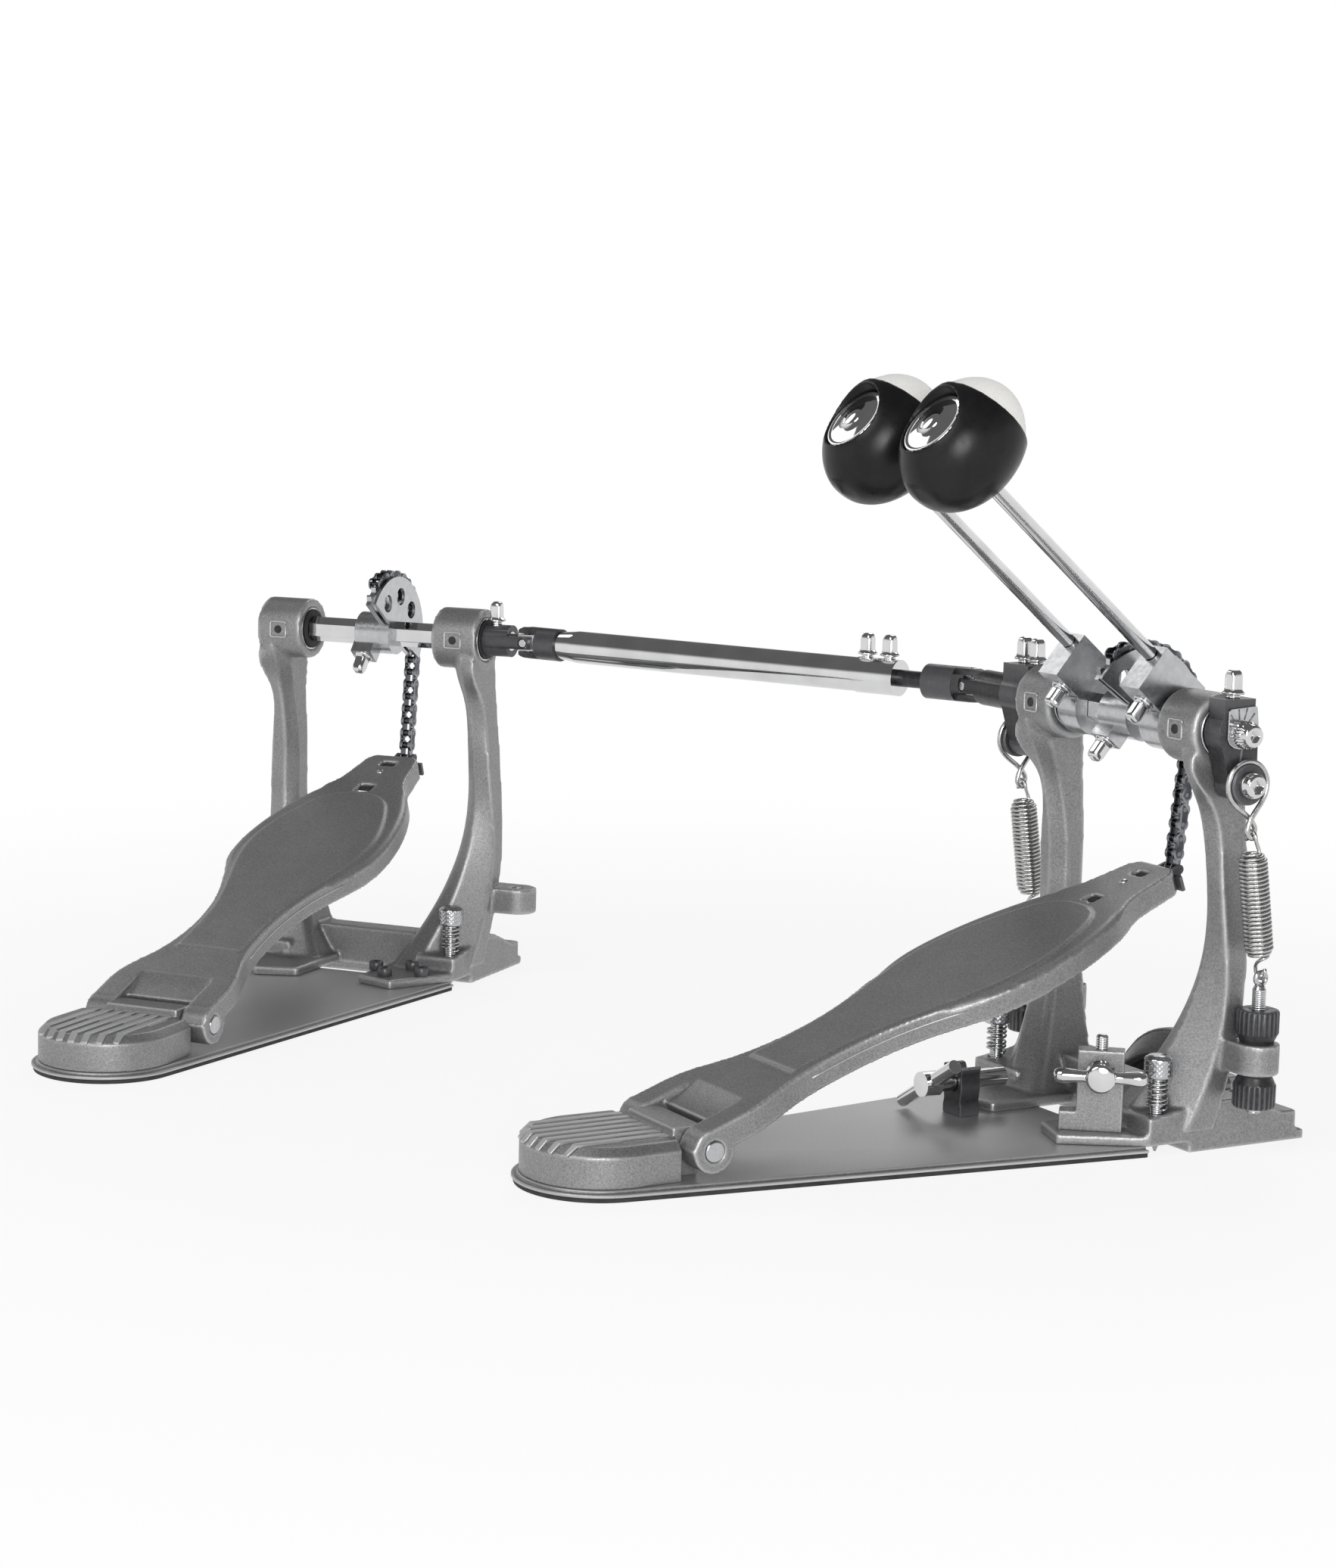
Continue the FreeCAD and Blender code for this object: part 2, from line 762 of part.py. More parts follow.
def build_casting(pedal, frame):
    shape = casting_shape()
    if pedal == "main":
        bore_half = Vector(S.foot_inner + S.jaw_thick, 0, 0)
        center = Vector(0, S.jaw_y + S.jaw_thick / 2, S.jaw_pin_height)
        shape = merged(shape, *clamp_lugs()).cut(
            cylinder(S.jaw_pin_radius + S.running_gap, center - bore_half, center + bore_half)
        )
    node(pedal + "_frame", feature(pedal + "_casting", shape), frame)
    rings = []
    for name, side in SIDES:
        for place, low in (
            ("in", "hub_center - hub_length / 2 + bearing_sink"),
            ("out", "hub_center + hub_length / 2 - bearing_sink - bearing_width"),
        ):
            at = low if side > 0 else f"-({low}) - bearing_width"
            ring = solid(
                "Cylinder",
                f"{pedal}_{name}_race_{place}",
                (at, "0", "axle_height"),
                ALONG_X,
                Radius="bearing_radius",
                Height="bearing_width",
            )
            eye = solid(
                "Cylinder",
                f"{pedal}_{name}_eye_{place}",
                (at, "0", "axle_height"),
                ALONG_X,
                Radius="journal_radius + running_gap",
                Height="bearing_width",
            )
            rings.append(cut(f"{pedal}_{name}_bearing_{place}", ring, eye))
    node(pedal + "_bearings", group(pedal + "_bearing_set", *rings), frame)


def shifted(x, side):
    """Place along X of a fitting on one side; those on the left sit further out."""
    return x if side > 0 else -x - S.left_shift


def build_spurs(pedal, frame):
    """Two screw spurs in the feet, each with a locking coil spring under its knurled head."""
    coils = []
    for name, side in SIDES:
        at = ("spur_x" if side > 0 else "-spur_x - left_shift", "-spur_y")
        seat = spur_seat()
        shank = solid(
            "Cylinder",
            f"{pedal}_{name}_spur_shank",
            (*at, "spur_tip + spur_tip_length"),
            Radius="spur_shank",
            Height=f"{seat} + spur_head_gap - spur_tip - spur_tip_length",
        )
        tip = solid(
            "Cone",
            f"{pedal}_{name}_spur_tip",
            (*at, "spur_tip"),
            Radius1="spur_shank / 6",
            Radius2="spur_shank",
            Height="spur_tip_length",
        )
        head = solid(
            "Cylinder",
            f"{pedal}_{name}_spur_head",
            (*at, f"{seat} + spur_head_gap"),
            Radius="spur_head_radius",
            Height="spur_head_height",
        )
        node(f"{pedal}_{name}_spur", fuse(f"{pedal}_{name}_spur_screw", shank, tip, head), frame)
        curves = spur_coil()
        coil = wire_solid(curves, S.spur_wire / 2)
        coil.translate(Vector(shifted(S.spur_x, side), -S.spur_y, seat))
        coils.append(coil)
    node(pedal + "_spur_springs", feature(pedal + "_spur_coils", Part.makeCompound(coils)), frame)


def spur_seat():
    """Height of the foot's sloped top just behind the spur's spring."""
    run = S.lug_y - S.lug_radius + S.foot_rear
    reach = S.foot_rear - S.spur_y + S.spur_coil_radius + S.spur_wire
    return S.foot_rear_top + (S.foot_mid_top - S.foot_rear_top) * reach / run


def spur_coil():
    steps = int(S.spur_turns * 4) + 1
    pitch = (S.spur_head_gap - S.spur_wire - 2 * S.part_gap) / S.spur_turns
    stations = helix_stations([S.spur_coil_radius] * steps, pitch)
    lift = Vector(0, 0, S.spur_wire / 2 + S.part_gap)
    stations = [(place + lift, way) for place, way in stations]
    lead = S.spur_wire
    first, first_way = stations[0]
    last, last_way = stations[-1]
    level_in = Vector(first_way.x, first_way.y, 0).normalize()
    level_out = Vector(last_way.x, last_way.y, 0).normalize()
    return (
        [Part.LineSegment(first - level_in * lead, first)]
        + through([(first, level_in), *stations[1:-1], (last, level_out)])
        + [Part.LineSegment(last, last + level_out * lead)]
    )


# Footboard and its toe bar

def board_place(along, above):
    """Point of the tilted board, by its distance along the board from the hinge and above the hinge line."""
    tilt = math.radians(S.board_tilt)
    return Vector(
        0,
        along * math.cos(tilt) - above * math.sin(tilt) - S.pivot_back,
        along * math.sin(tilt) + above * math.cos(tilt) + S.pivot_height,
    )


def board_side(side, inset):
    """Long edge of the board: straight ear, narrow waist, wide treadle and narrow neck, drawn to one side."""
    waist, wide, neck = S.board_waist_at, S.board_wide_at, S.board_neck_at
    shoulder = wide + S.board_shoulder_run
    edge = [
        (S.ear_outer, S.board_ear_run),
        ((S.ear_outer + S.board_waist_half) / 2 - S.board_hollow, (S.board_ear_run + waist) / 2),
        (S.board_waist_half, waist),
        ((S.board_waist_half + S.board_wide_half) / 2 - S.board_hollow, (waist + wide) / 2),
        (S.board_wide_half - S.board_swell, wide - S.board_swell_run),
        (S.board_wide_half, wide),
        (S.board_shoulder_half, shoulder),
        ((S.board_shoulder_half + S.board_neck_half) / 2, (shoulder + neck) / 2),
        (S.board_neck_half, neck),
    ]
    points = []
    for half, along in edge:
        lean = min(1.0, (along - S.board_ear_run) / (waist - S.board_ear_run))
        points.append(Vector(side * (half - inset) + S.board_shift * lean, along, 0))
    curve = Part.BSplineCurve()
    curve.interpolate(points, InitialTangent=Vector(0, 1, 0), FinalTangent=Vector(-NECK_LEAN * side, 1, 0))
    tip = S.board_length - inset
    corner = Vector(side * (S.toe_half - inset) + S.board_shift, tip - S.toe_chamfer, 0)
    nose = Vector(side * (S.toe_half - S.toe_chamfer) + S.board_shift, tip, 0)
    heel = Vector(side * (S.ear_outer - inset), inset - S.ear_radius, 0)
    return [
        Part.makeLine(heel, points[0]),
        curve.toShape(),
        Part.makeLine(points[-1], corner),
        Part.makeLine(corner, nose),
    ]


def board_outline(inset):
    left, right = board_side(-1, inset), board_side(1, inset)
    ends = [
        Part.makeLine(left[0].Vertexes[0].Point, right[0].Vertexes[0].Point),
        Part.makeLine(left[-1].Vertexes[1].Point, right[-1].Vertexes[1].Point),
    ]
    return Part.Wire(Part.__sortEdges__([*right, *left, *ends]))


def board_panel():
    """Raised foot panel: a rounded tongue from the waist to a round tip short of the toe."""
    inset = S.board_panel_margin
    half = S.board_wide_half - inset
    start = S.board_waist_at - S.board_waist_half
    tip = S.board_neck_at - S.board_neck_half - inset
    side = Part.BSplineCurve()
    side.interpolate(
        [
            Vector(S.board_waist_half - S.board_wall, start, 0),
            Vector(S.board_waist_half - S.board_wall / 2, S.board_waist_at + S.board_waist_half, 0),
            Vector(half, S.board_wide_at - S.board_wall * 3, 0),
            Vector(half * S.board_panel_share, (S.board_wide_at + tip) / 2 + inset, 0),
            Vector(0, tip, 0),
        ],
        InitialTangent=Vector(0, 1, 0),
        FinalTangent=Vector(-1, 0, 0),
    )
    right = side.toShape()
    back = Part.makeLine(right.valueAt(right.FirstParameter), mirrored_x(right).valueAt(right.FirstParameter))
    return Part.Face(Part.Wire(Part.__sortEdges__([right, mirrored_x(right), back])))


def board_shape():
    """Board in its flat position, with the hinge line on the X axis."""
    top = S.board_top - S.board_panel_step
    bottom = S.board_top - S.board_skirt
    sheet_depth = S.board_top - S.board_wall - S.board_panel_step
    slab = Part.Face(board_outline(0.0)).extrude(Vector(0, 0, top - bottom))
    slab.translate(Vector(0, 0, bottom))
    hollow = Part.Face(board_outline(S.board_wall)).extrude(Vector(0, 0, sheet_depth - bottom))
    hollow.translate(Vector(0, 0, bottom))
    rear_web = brick(
        -S.ear_outer, S.ear_outer, -S.ear_radius, S.ear_radius * 2 + S.board_wall, bottom, sheet_depth
    )
    shell = slab.cut(hollow.cut(rear_web))
    panel = board_panel().extrude(Vector(0, 0, S.board_panel_step))
    panel.translate(Vector(S.board_shift, 0, top))
    barrel = cylinder(S.ear_radius, Vector(-S.ear_outer, 0, 0), Vector(S.ear_outer, 0, 0))
    board = merged(shell, panel, barrel)
    far = S.board_length
    gap_end = S.boss_radius + S.part_gap * 2
    fork = merged(
        brick(-S.ear_inner, S.ear_inner, -far, gap_end, -far, far),
        cylinder(S.boss_radius + S.part_gap * 2, Vector(-S.ear_inner, 0, 0), Vector(S.ear_inner, 0, 0)),
    )
    rear_low = brick(-S.ear_outer, S.ear_outer, -far, 0, S.ear_radius / 2, far)
    keep = cylinder(S.ear_radius, Vector(-S.ear_outer, 0, 0), Vector(S.ear_outer, 0, 0))
    scoop_at = Vector(0, gap_end, S.board_top + S.scoop_radius - S.scoop_depth)
    half = Vector(S.ear_inner, 0, 0)
    scoop = cylinder(S.scoop_radius, scoop_at - half, scoop_at + half)
    pin = cylinder(S.pin_radius + S.running_gap, Vector(-far, 0, 0), Vector(far, 0, 0))
    slot_at = S.board_length - S.toe_slot_back
    low = sheet_depth - S.board_wall
    slot = brick(-S.toe_slot_length / 2, S.toe_slot_length / 2, slot_at - S.toe_slot_width, slot_at, low, far)
    notch_at = S.board_length - S.notch_back
    notch = brick(-S.notch_width / 2, S.notch_width / 2, notch_at - S.notch_length, notch_at, low, far)
    for window in (slot, notch):
        window.translate(Vector(S.board_shift, 0, 0))
    corner = rear_low.cut(keep)
    return board.cut([fork, corner, scoop, pin, slot, notch]).removeSplitter()


def on_board(shape):
    """Moves a shape from the flat board to the tilted board's place."""
    copy = shape.copy()
    copy.rotate(ORIGIN, Vector(1, 0, 0), S.board_tilt)
    copy.translate(Vector(0, -S.pivot_back, S.pivot_height))
    return copy


def build_footboard(pedal, frame):
    node(pedal + "_footboard", feature(pedal + "_board", on_board(board_shape())), frame)
    low = S.board_top - S.board_skirt
    front = S.board_length + S.toe_bar_thick
    middle = S.chain_x
    bar = brick(
        middle - S.toe_bar_half, middle + S.toe_bar_half, S.board_length, front, low, low + S.toe_bar_height
    )
    inner = S.roller_width / 2 + 2 * S.link_plate + S.part_gap
    hinge = Vector(0, -S.pivot_back, S.pivot_height)
    at = Rotation(Vector(1, 0, 0), -S.board_tilt).multVec(anchor_point() - hinge)
    cheeks = []
    for side in (-1, 1):
        near = middle + side * inner
        far = near + side * S.cheek_thick
        left, right = min(near, far), max(near, far)
        cheeks.append(brick(left, right, S.board_length, at.y, low, at.z + S.link_waist / 2))
        cheeks.append(cylinder(S.link_waist / 2, Vector(near, at.y, at.z), Vector(far, at.y, at.z)))
    pin_half = Vector(inner + S.cheek_thick, 0, 0)
    pin = cylinder(S.chain_pin, at - pin_half, at + pin_half)
    node(pedal + "_chain_clamp", feature(pedal + "_toe_bar", on_board(merged(bar, *cheeks, pin))), frame)


# Axle, sprocket and roller chain

def pitch_radius():
    return S.chain_pitch / (2 * math.sin(math.pi / S.tooth_count))


def toe_point():
    """Point in front of the toe that the chain's straight run aims at."""
    place = board_place(S.board_length + S.toe_bar_thick + S.link_height / 2, S.board_top - S.anchor_drop)
    return place + Vector(S.chain_x, 0, 0)


def chain_tangent():
    """Angle, from the +Y direction, at which the straight run leaves the sprocket, and the run's length."""
    toe = toe_point()
    below = S.axle_height - toe.z
    reach = math.hypot(toe.y, below)
    angle = math.acos(pitch_radius() / reach) - math.atan2(below, toe.y)
    return angle, math.sqrt(reach ** 2 - pitch_radius() ** 2)


def on_sprocket(angle):
    reach = pitch_radius()
    return Vector(S.chain_x, reach * math.cos(angle), S.axle_height + reach * math.sin(angle))


def chain_pins():
    """Pin axes of the wrapped stretch, from its rear end to the tangent point, and of the straight run."""
    angle, length = chain_tangent()
    step = 2 * math.pi / S.tooth_count
    wrap = [on_sprocket(angle + step * index) for index in range(int(S.wrap_links), -1, -1)]
    way = (toe_point() - wrap[-1]).normalize()
    count = int(length / S.chain_pitch)
    run = [wrap[-1] + way * (S.chain_pitch * index) for index in range(count + 1)]
    return wrap, run


def anchor_point():
    """Axis of the chain's last pin, held by the toe bar's cheeks."""
    return chain_pins()[1][-1]


def link_between(first, second, outer):
    """One chain link: two waisted plates, joined by rollers on an inner link or by pins on an outer one."""
    span = (second - first).Length
    near = S.roller_width / 2 + (S.link_plate if outer else 0)
    clear = S.running_gap if outer else 0
    parts = []
    for side in (-1, 1):
        start = Vector(side * (near + clear), 0, 0)
        thick = Vector(side * (S.link_plate - 2 * clear), 0, 0)
        ends = []
        for y in (0, span):
            center = start + Vector(0, y, 0)
            ends.append(cylinder(S.link_height / 2, center, center + thick))
        low = min(start.x, start.x + thick.x)
        bar = brick(low, low + abs(thick.x), 0, span, -S.link_waist / 2, S.link_waist / 2)
        parts.append(merged(ends[0], ends[1], bar))
    for y in (0, span):
        center = Vector(0, y, 0)
        half = Vector(near + S.link_plate, 0, 0)
        if outer:
            parts.append(cylinder(S.chain_pin, center - half, center + half))
        else:
            roller = Vector(S.roller_width / 2, 0, 0)
            parts.append(cylinder(S.roller_radius, center - roller, center + roller))
    link = merged(*parts)
    if not outer:
        far = Vector(near + S.link_height, 0, 0)
        for center in (Vector(0, 0, 0), Vector(0, span, 0)):
            link = link.cut(cylinder(S.chain_pin + S.running_gap, center - far, center + far))
    way = second - first
    link.rotate(ORIGIN, Vector(1, 0, 0), math.degrees(math.atan2(way.z, way.y)))
    link.translate(first)
    return link


def build_chain(pedal, frame):
    """Wrapped and hanging stretches; inner and outer links take turns up from an inner link at the toe."""
    wrap, run = chain_pins()
    spans = list(zip(wrap, wrap[1:])) + list(zip(run, run[1:]))
    last = len(spans) - 1
    links = [link_between(start, end, (last - index) % 2 == 1) for index, (start, end) in enumerate(spans)]
    wrapped = len(wrap) - 1
    node(pedal + "_chain_wrap", feature(pedal + "_wrap", Part.makeCompound(links[:wrapped])), frame)
    node(pedal + "_chain_run", feature(pedal + "_run", Part.makeCompound(links[wrapped:])), frame)


def cam_sector(low, high):
    """Wedge about the axle that the toothed rim and its flange keep, from front to rear over the top."""
    reach = 2 * pitch_radius()
    first, last = math.radians(-S.cam_front), math.radians(S.cam_rear)
    steps = 4
    turns = [first + (last - first) * index / steps for index in range(steps + 1)]
    rim = [Vector(low, reach * math.cos(turn), reach * math.sin(turn)) for turn in turns]
    return prism([Vector(low, 0, 0), *rim], Vector(high - low, 0, 0))


def sprocket_shape():
    """Toothed sector with a smooth flange beside it, on a hub that clamps the hexagonal axle."""
    root = pitch_radius() - S.roller_radius - S.running_gap
    tip = root + S.tooth_tip
    step = 2 * math.pi / S.tooth_count
    angle, _ = chain_tangent()
    outline = []
    for index in range(int(S.tooth_count)):
        middle = angle + step * (index + 0.5)
        corners = (
            (root, -TOOTH_ROOT_SHARE),
            (tip, -TOOTH_TIP_SHARE),
            (tip, TOOTH_TIP_SHARE),
            (root, TOOTH_ROOT_SHARE),
        )
        for radius, share in corners:
            turn = middle + step * share
            outline.append(Vector(0, radius * math.cos(turn), radius * math.sin(turn)))
    wheel = prism(outline, Vector(S.sprocket_width, 0, 0))
    wheel.translate(Vector(S.chain_x - S.sprocket_width / 2, 0, 0))
    left, right = Vector(-S.sprocket_hub_left, 0, 0), Vector(S.sprocket_hub_right, 0, 0)
    flange = cylinder(S.cam_flange_radius, right - Vector(S.cam_flange_thick, 0, 0), right)
    rim = merged(wheel, flange).common(cam_sector(left.x, right.x))
    ring = (S.sprocket_hub_radius + root) / 2
    holes = []
    for index in range(int(S.web_hole_count)):
        turn = math.radians((S.cam_front + S.cam_rear) * (index + 0.5) / S.web_hole_count - S.cam_front)
        center = Vector(0, ring * math.cos(turn), ring * math.sin(turn))
        holes.append(cylinder(S.web_hole_radius, center + left, center + right))
    lug = brick(
        -S.cam_bolt_x - S.cam_lug_half,
        S.cam_lug_half - S.cam_bolt_x,
        -S.bolt_collar,
        S.bolt_collar,
        -S.sprocket_hub_radius - S.bolt_collar,
        0,
    )
    lug = turned(lug, ORIGIN, Vector(1, 0, 0), S.beater_lean - 90)
    wheel = merged(rim.cut(holes), cylinder(S.sprocket_hub_radius, left, right), lug)
    wide = Vector(2 * S.cam_lug_half, 0, 0)
    return wheel.cut(hex_bore(left - wide, right - left + wide * 2))


def hex_bore(start, run):
    """Hexagonal hole for the axle, with a corner at the top."""
    corner = S.axle_flats / math.sqrt(3)
    turns = [index * math.pi / 3 for index in range(6)]
    return prism([start + Vector(0, corner * math.sin(turn), corner * math.cos(turn)) for turn in turns], run)


def key_bolt(tip, way, length):
    """Square-headed tension bolt: threaded shank from its tip, collar and square drive."""
    collar = tip + way * length
    square = collar + way * S.bolt_collar_thick
    flat = S.bolt_square / 2
    head = Part.makeBox(S.bolt_square, S.bolt_square, S.bolt_square_high, Vector(-flat, -flat, 0))
    head.Placement = Placement(square, Rotation(Vector(0, 0, 1), way))
    return merged(cylinder(S.bolt_radius, tip, collar), cylinder(S.bolt_collar, collar, square), head)


def bolt_room(tip, way, length):
    """Plain hole for a key bolt's shank, run past its tip into the bore that it clamps."""
    return cylinder(S.bolt_radius, tip - way * S.bolt_radius, tip + way * length)


def axle_frame():
    return Vector(0, 0, S.axle_height)


def sprocket_bolt():
    _, strike_way = beater_ways()
    way = strike_way * -1
    corner = S.axle_flats / math.sqrt(3)
    tip = axle_frame() - Vector(S.cam_bolt_x, 0, 0) + way * corner
    return tip, way, S.sprocket_hub_radius + S.bolt_collar - corner


def hex_run(name, start, end):
    """Hexagonal stretch of an axle between two formulas along X, one flat side up."""
    return hexagon(name, "axle_flats / sqrt(3)", f"{end} - ({start})", (start, "0", "axle_height"), ALONG_X)


def journal(name, start, end):
    return solid(
        "Cylinder",
        name,
        (start, "0", "axle_height"),
        ALONG_X,
        Radius="journal_radius",
        Height=f"{end} - ({start})",
    )


HUB_IN = "(hub_center - hub_length / 2)"
HUB_OUT = "(hub_center + hub_length / 2)"
MAIN_AXLE_LEFT = "(-beater_x + part_gap)"
ROCKER_IN = f"({HUB_OUT} + part_gap)"
ROCKER_OUT = f"({ROCKER_IN} + rocker_thick)"
SLAVE_YOKE_OUT = "(joint_out - yoke_throat)"


def build_axles(main_frame, slave_frame):
    """Main axle from the left beater hub to the right rocker; second axle from bearing to shaft yoke."""
    middle = hex_run("main_axle_hex", "hub_block_half - beater_x + part_gap", f"{HUB_IN} - part_gap")
    ends = journal("main_axle_ends", MAIN_AXLE_LEFT, ROCKER_OUT)
    node("main_axle", fuse("main_axle_bar", middle, ends), main_frame)
    middle = hex_run("slave_axle_hex", f"part_gap - {HUB_IN}", f"{HUB_IN} - part_gap")
    ends = journal("slave_axle_ends", f"-{HUB_OUT}", SLAVE_YOKE_OUT)
    node("slave_axle", fuse("slave_axle_bar", middle, ends), slave_frame)
    for pedal, frame in (("main", main_frame), ("slave", slave_frame)):
        wheel = sprocket_shape()
        wheel.translate(axle_frame())
        wheel = wheel.cut(bolt_room(*sprocket_bolt()))
        node(pedal + "_sprocket", feature(pedal + "_wheel", wheel), frame)


# Beaters: clamp hub on the axle, shaft with an end disc, moulded head and felt

def beater_ways():
    """Directions along the beater shaft and out of its striking face."""
    lean = math.radians(S.beater_lean)
    return Vector(0, -math.sin(lean), math.cos(lean)), Vector(0, math.cos(lean), math.sin(lean))


def beater_point(side, along, across):
    shaft_way, strike_way = beater_ways()
    return Vector(side * S.beater_x, 0, S.axle_height) + shaft_way * along + strike_way * across


def beater_bolt(side):
    _, strike_way = beater_ways()
    near = S.beater_offset - S.beater_rod - S.running_gap
    tip = beater_point(side, S.hub_ring + S.bolt_collar + S.part_gap, near)
    return tip, strike_way * -1, near + S.hub_block_foot


def beater_hub(side):
    """Angular clamp block beside the axle, with a round ring on the axle itself."""
    wide = Vector(2 * S.hub_block_half, 0, 0)
    corner = Vector(-S.hub_block_half, 0, 0)
    low, high = -S.hub_block_foot, S.hub_block_high
    back, tip = -S.hub_block_foot, S.hub_block_long
    outline = [
        beater_point(side, back, low) + corner,
        beater_point(side, tip, low) + corner,
        beater_point(side, tip, high) + corner,
        beater_point(side, back + S.hub_block_foot, high) + corner,
        beater_point(side, back - S.hub_block_foot, high / 2) + corner,
    ]
    block = prism(outline, wide)
    ring_low = Vector(side * S.beater_x - S.hub_block_half, 0, S.axle_height)
    block = merged(block, cylinder(S.hub_ring, ring_low, ring_low + wide))
    shaft = cylinder(
        S.beater_rod + S.running_gap,
        beater_point(side, -S.hub_ring * 2, S.beater_offset),
        beater_point(side, tip * 2, S.beater_offset),
    )
    axle = cylinder(S.journal_radius, ring_low - wide, ring_low + wide * 2)
    block = block.cut([shaft, bolt_room(*beater_bolt(side))])
    if side > 0:
        return block.cut(hex_bore(ring_low, wide))
    running = cylinder(
        S.journal_radius + S.running_gap, Vector(-S.beater_x, 0, S.axle_height), ring_low + wide * 2
    )
    return block.cut([axle, running])


def oval_arc(radius, half_long, high, low):
    """Arc of an oval about the striking axis, between two heights, with its widest place at the belly."""
    belly = S.head_belly
    oval = Part.Ellipse(Vector(0, 0, belly + half_long), Vector(radius, 0, belly), Vector(0, 0, belly))
    first = math.acos((high - belly) / half_long)
    last = math.acos((low - belly) / half_long)
    return Part.ArcOfEllipse(oval, first, last).toShape()


def turned_about_axis(curve):
    """Solid of revolution between a curve and the striking axis."""
    top = curve.valueAt(curve.FirstParameter)
    bottom = curve.valueAt(curve.LastParameter)
    axis_top, axis_bottom = Vector(0, 0, top.z), Vector(0, 0, bottom.z)
    edges = [curve, Part.makeLine(bottom, axis_bottom), Part.makeLine(axis_bottom, axis_top)]
    if top.x > S.running_gap:
        edges.append(Part.makeLine(axis_top, top))
    solid_shape = Part.Face(Part.Wire(edges)).revolve(ORIGIN, Vector(0, 0, 1), 360)
    return solid_shape if solid_shape.Volume > 0 else solid_shape.reversed()


def head_shapes(side):
    """Moulded egg-shaped head, turned about its striking axis, and the domed felt on its front."""
    shaft_way, strike_way = beater_ways()
    center = beater_point(side, S.beater_reach, S.beater_offset)
    felt_tip = S.head_front + S.felt_thick
    head = turned_about_axis(oval_arc(S.head_radius, S.head_half_long, S.head_front, -S.head_back))
    felt = turned_about_axis(oval_arc(S.felt_radius, felt_tip - S.head_belly, felt_tip, S.head_front))
    for shape in (head, felt):
        shape.Placement = Placement(center, Rotation(Vector(0, 0, 1), strike_way))
    flat_start = center + shaft_way * S.head_disc_at
    room = cylinder(S.head_disc_radius + S.part_gap, flat_start, flat_start + shaft_way * S.head_radius)
    return head.cut([beater_shaft(side), room]), felt


def beater_shaft(side):
    """Round shaft, held in the hub, with the chromed disc on the end above the head."""
    shaft_way, _ = beater_ways()
    center = beater_point(side, S.beater_reach, S.beater_offset)
    disc = center + shaft_way * S.head_disc_at
    low = beater_point(side, -S.hub_block_foot, S.beater_offset)
    return merged(
        cylinder(S.beater_rod, low, disc),
        cylinder(S.head_disc_radius, disc, disc + shaft_way * S.head_disc_thick),
    )


def build_beaters(frame):
    for name, side in SIDES:
        hub = beater_hub(side)
        node(f"{name}_beater_hub", feature(name + "_hub", hub), frame)
        shaft = beater_shaft(side)
        node(f"{name}_beater_shaft", feature(name + "_shaft", shaft), frame)
        head, felt = head_shapes(side)
        node(f"{name}_beater_head", feature(name + "_head", head), frame)
        node(f"{name}_beater_felt", feature(name + "_felt", felt), frame)


# Rockers: black arms on the axle ends that pull the springs

def rocker_inner():
    return hub_outer() + S.part_gap


def rocker_wide(side):
    """Width of a rocker; the left one is wider, so that its arm meets the spring that sits further out."""
    return S.rocker_thick if side > 0 else S.rocker_thick + S.left_shift


def rocker_outer(side):
    return rocker_inner() + rocker_wide(side)


def rocker_arm():
    return Vector(0, S.rocker_arm_y, S.axle_height - S.rocker_arm_drop)


def rocker_shape(side):
    """Clamp block on top, round boss on the axle and an arm down to the spring's pivot screw."""
    low = side * rocker_inner()
    wide = Vector(side * rocker_wide(side), 0, 0)
    start = Vector(low, 0, 0)
    axis = start + axle_frame()
    arm = start + rocker_arm()
    boss = cylinder(S.rocker_radius, axis, axis + wide)
    top = prism(
        [
            axis + Vector(0, -S.rocker_top_half, 0),
            axis + Vector(0, S.rocker_top_half, 0),
            axis + Vector(0, S.rocker_top_half, S.rocker_top),
            axis + Vector(0, -S.rocker_top_half, S.rocker_top),
        ],
        wide,
    )
    web = prism(
        [
            axis + Vector(0, -S.rocker_radius, 0),
            axis + Vector(0, S.rocker_radius, 0),
            arm + Vector(0, S.rocker_arm_radius, 0),
            arm + Vector(0, -S.rocker_arm_radius, 0),
        ],
        wide,
    )
    return merged(boss, top, web, cylinder(S.rocker_arm_radius, arm, arm + wide))


def rocker_bolts(side):
    """One clamp bolt on the right rocker, two in a row on the wider left one."""
    count = 1 if side > 0 else 2
    bolts = []
    for index in range(count):
        x = side * (rocker_inner() + rocker_wide(side) * (index + 0.5) / count)
        tip = Vector(x, 0, S.axle_height + S.journal_radius)
        bolts.append((tip, Vector(0, 0, 1), S.rocker_top - S.journal_radius + S.bolt_collar_thick))
    return bolts


def pivot_screw(side):
    """Shouldered cap screw through the rocker's arm, with the wire link under its head."""
    way = Vector(side, 0, 0)
    arm = rocker_arm()
    start = arm + way * rocker_inner()
    reach = abs(shifted(S.lug_x, side))
    seat = arm + way * (reach + S.link_wire + S.part_gap)
    middle = arm + way * reach
    bush_radius = S.link_loop_radius - S.link_wire - S.running_gap
    return merged(
        cylinder(S.cap_screw_radius, start, seat),
        cylinder(bush_radius, middle - way * S.link_bush_half, middle + way * S.link_bush_half),
        cylinder(S.cap_head_radius, seat, seat + way * S.cap_head_thick),
    )


def axle_screw():
    """Thumb screw on the end of the main axle that holds the angle setting."""
    start = axle_frame() + Vector(rocker_outer(1), 0, 0)
    way = Vector(1, 0, 0)
    return merged(
        cylinder(S.cap_screw_radius, start, start + way * S.cap_head_thick),
        cylinder(S.cap_head_radius, start + way * S.bolt_collar_thick, start + way * (S.cap_head_thick * 2)),
    )


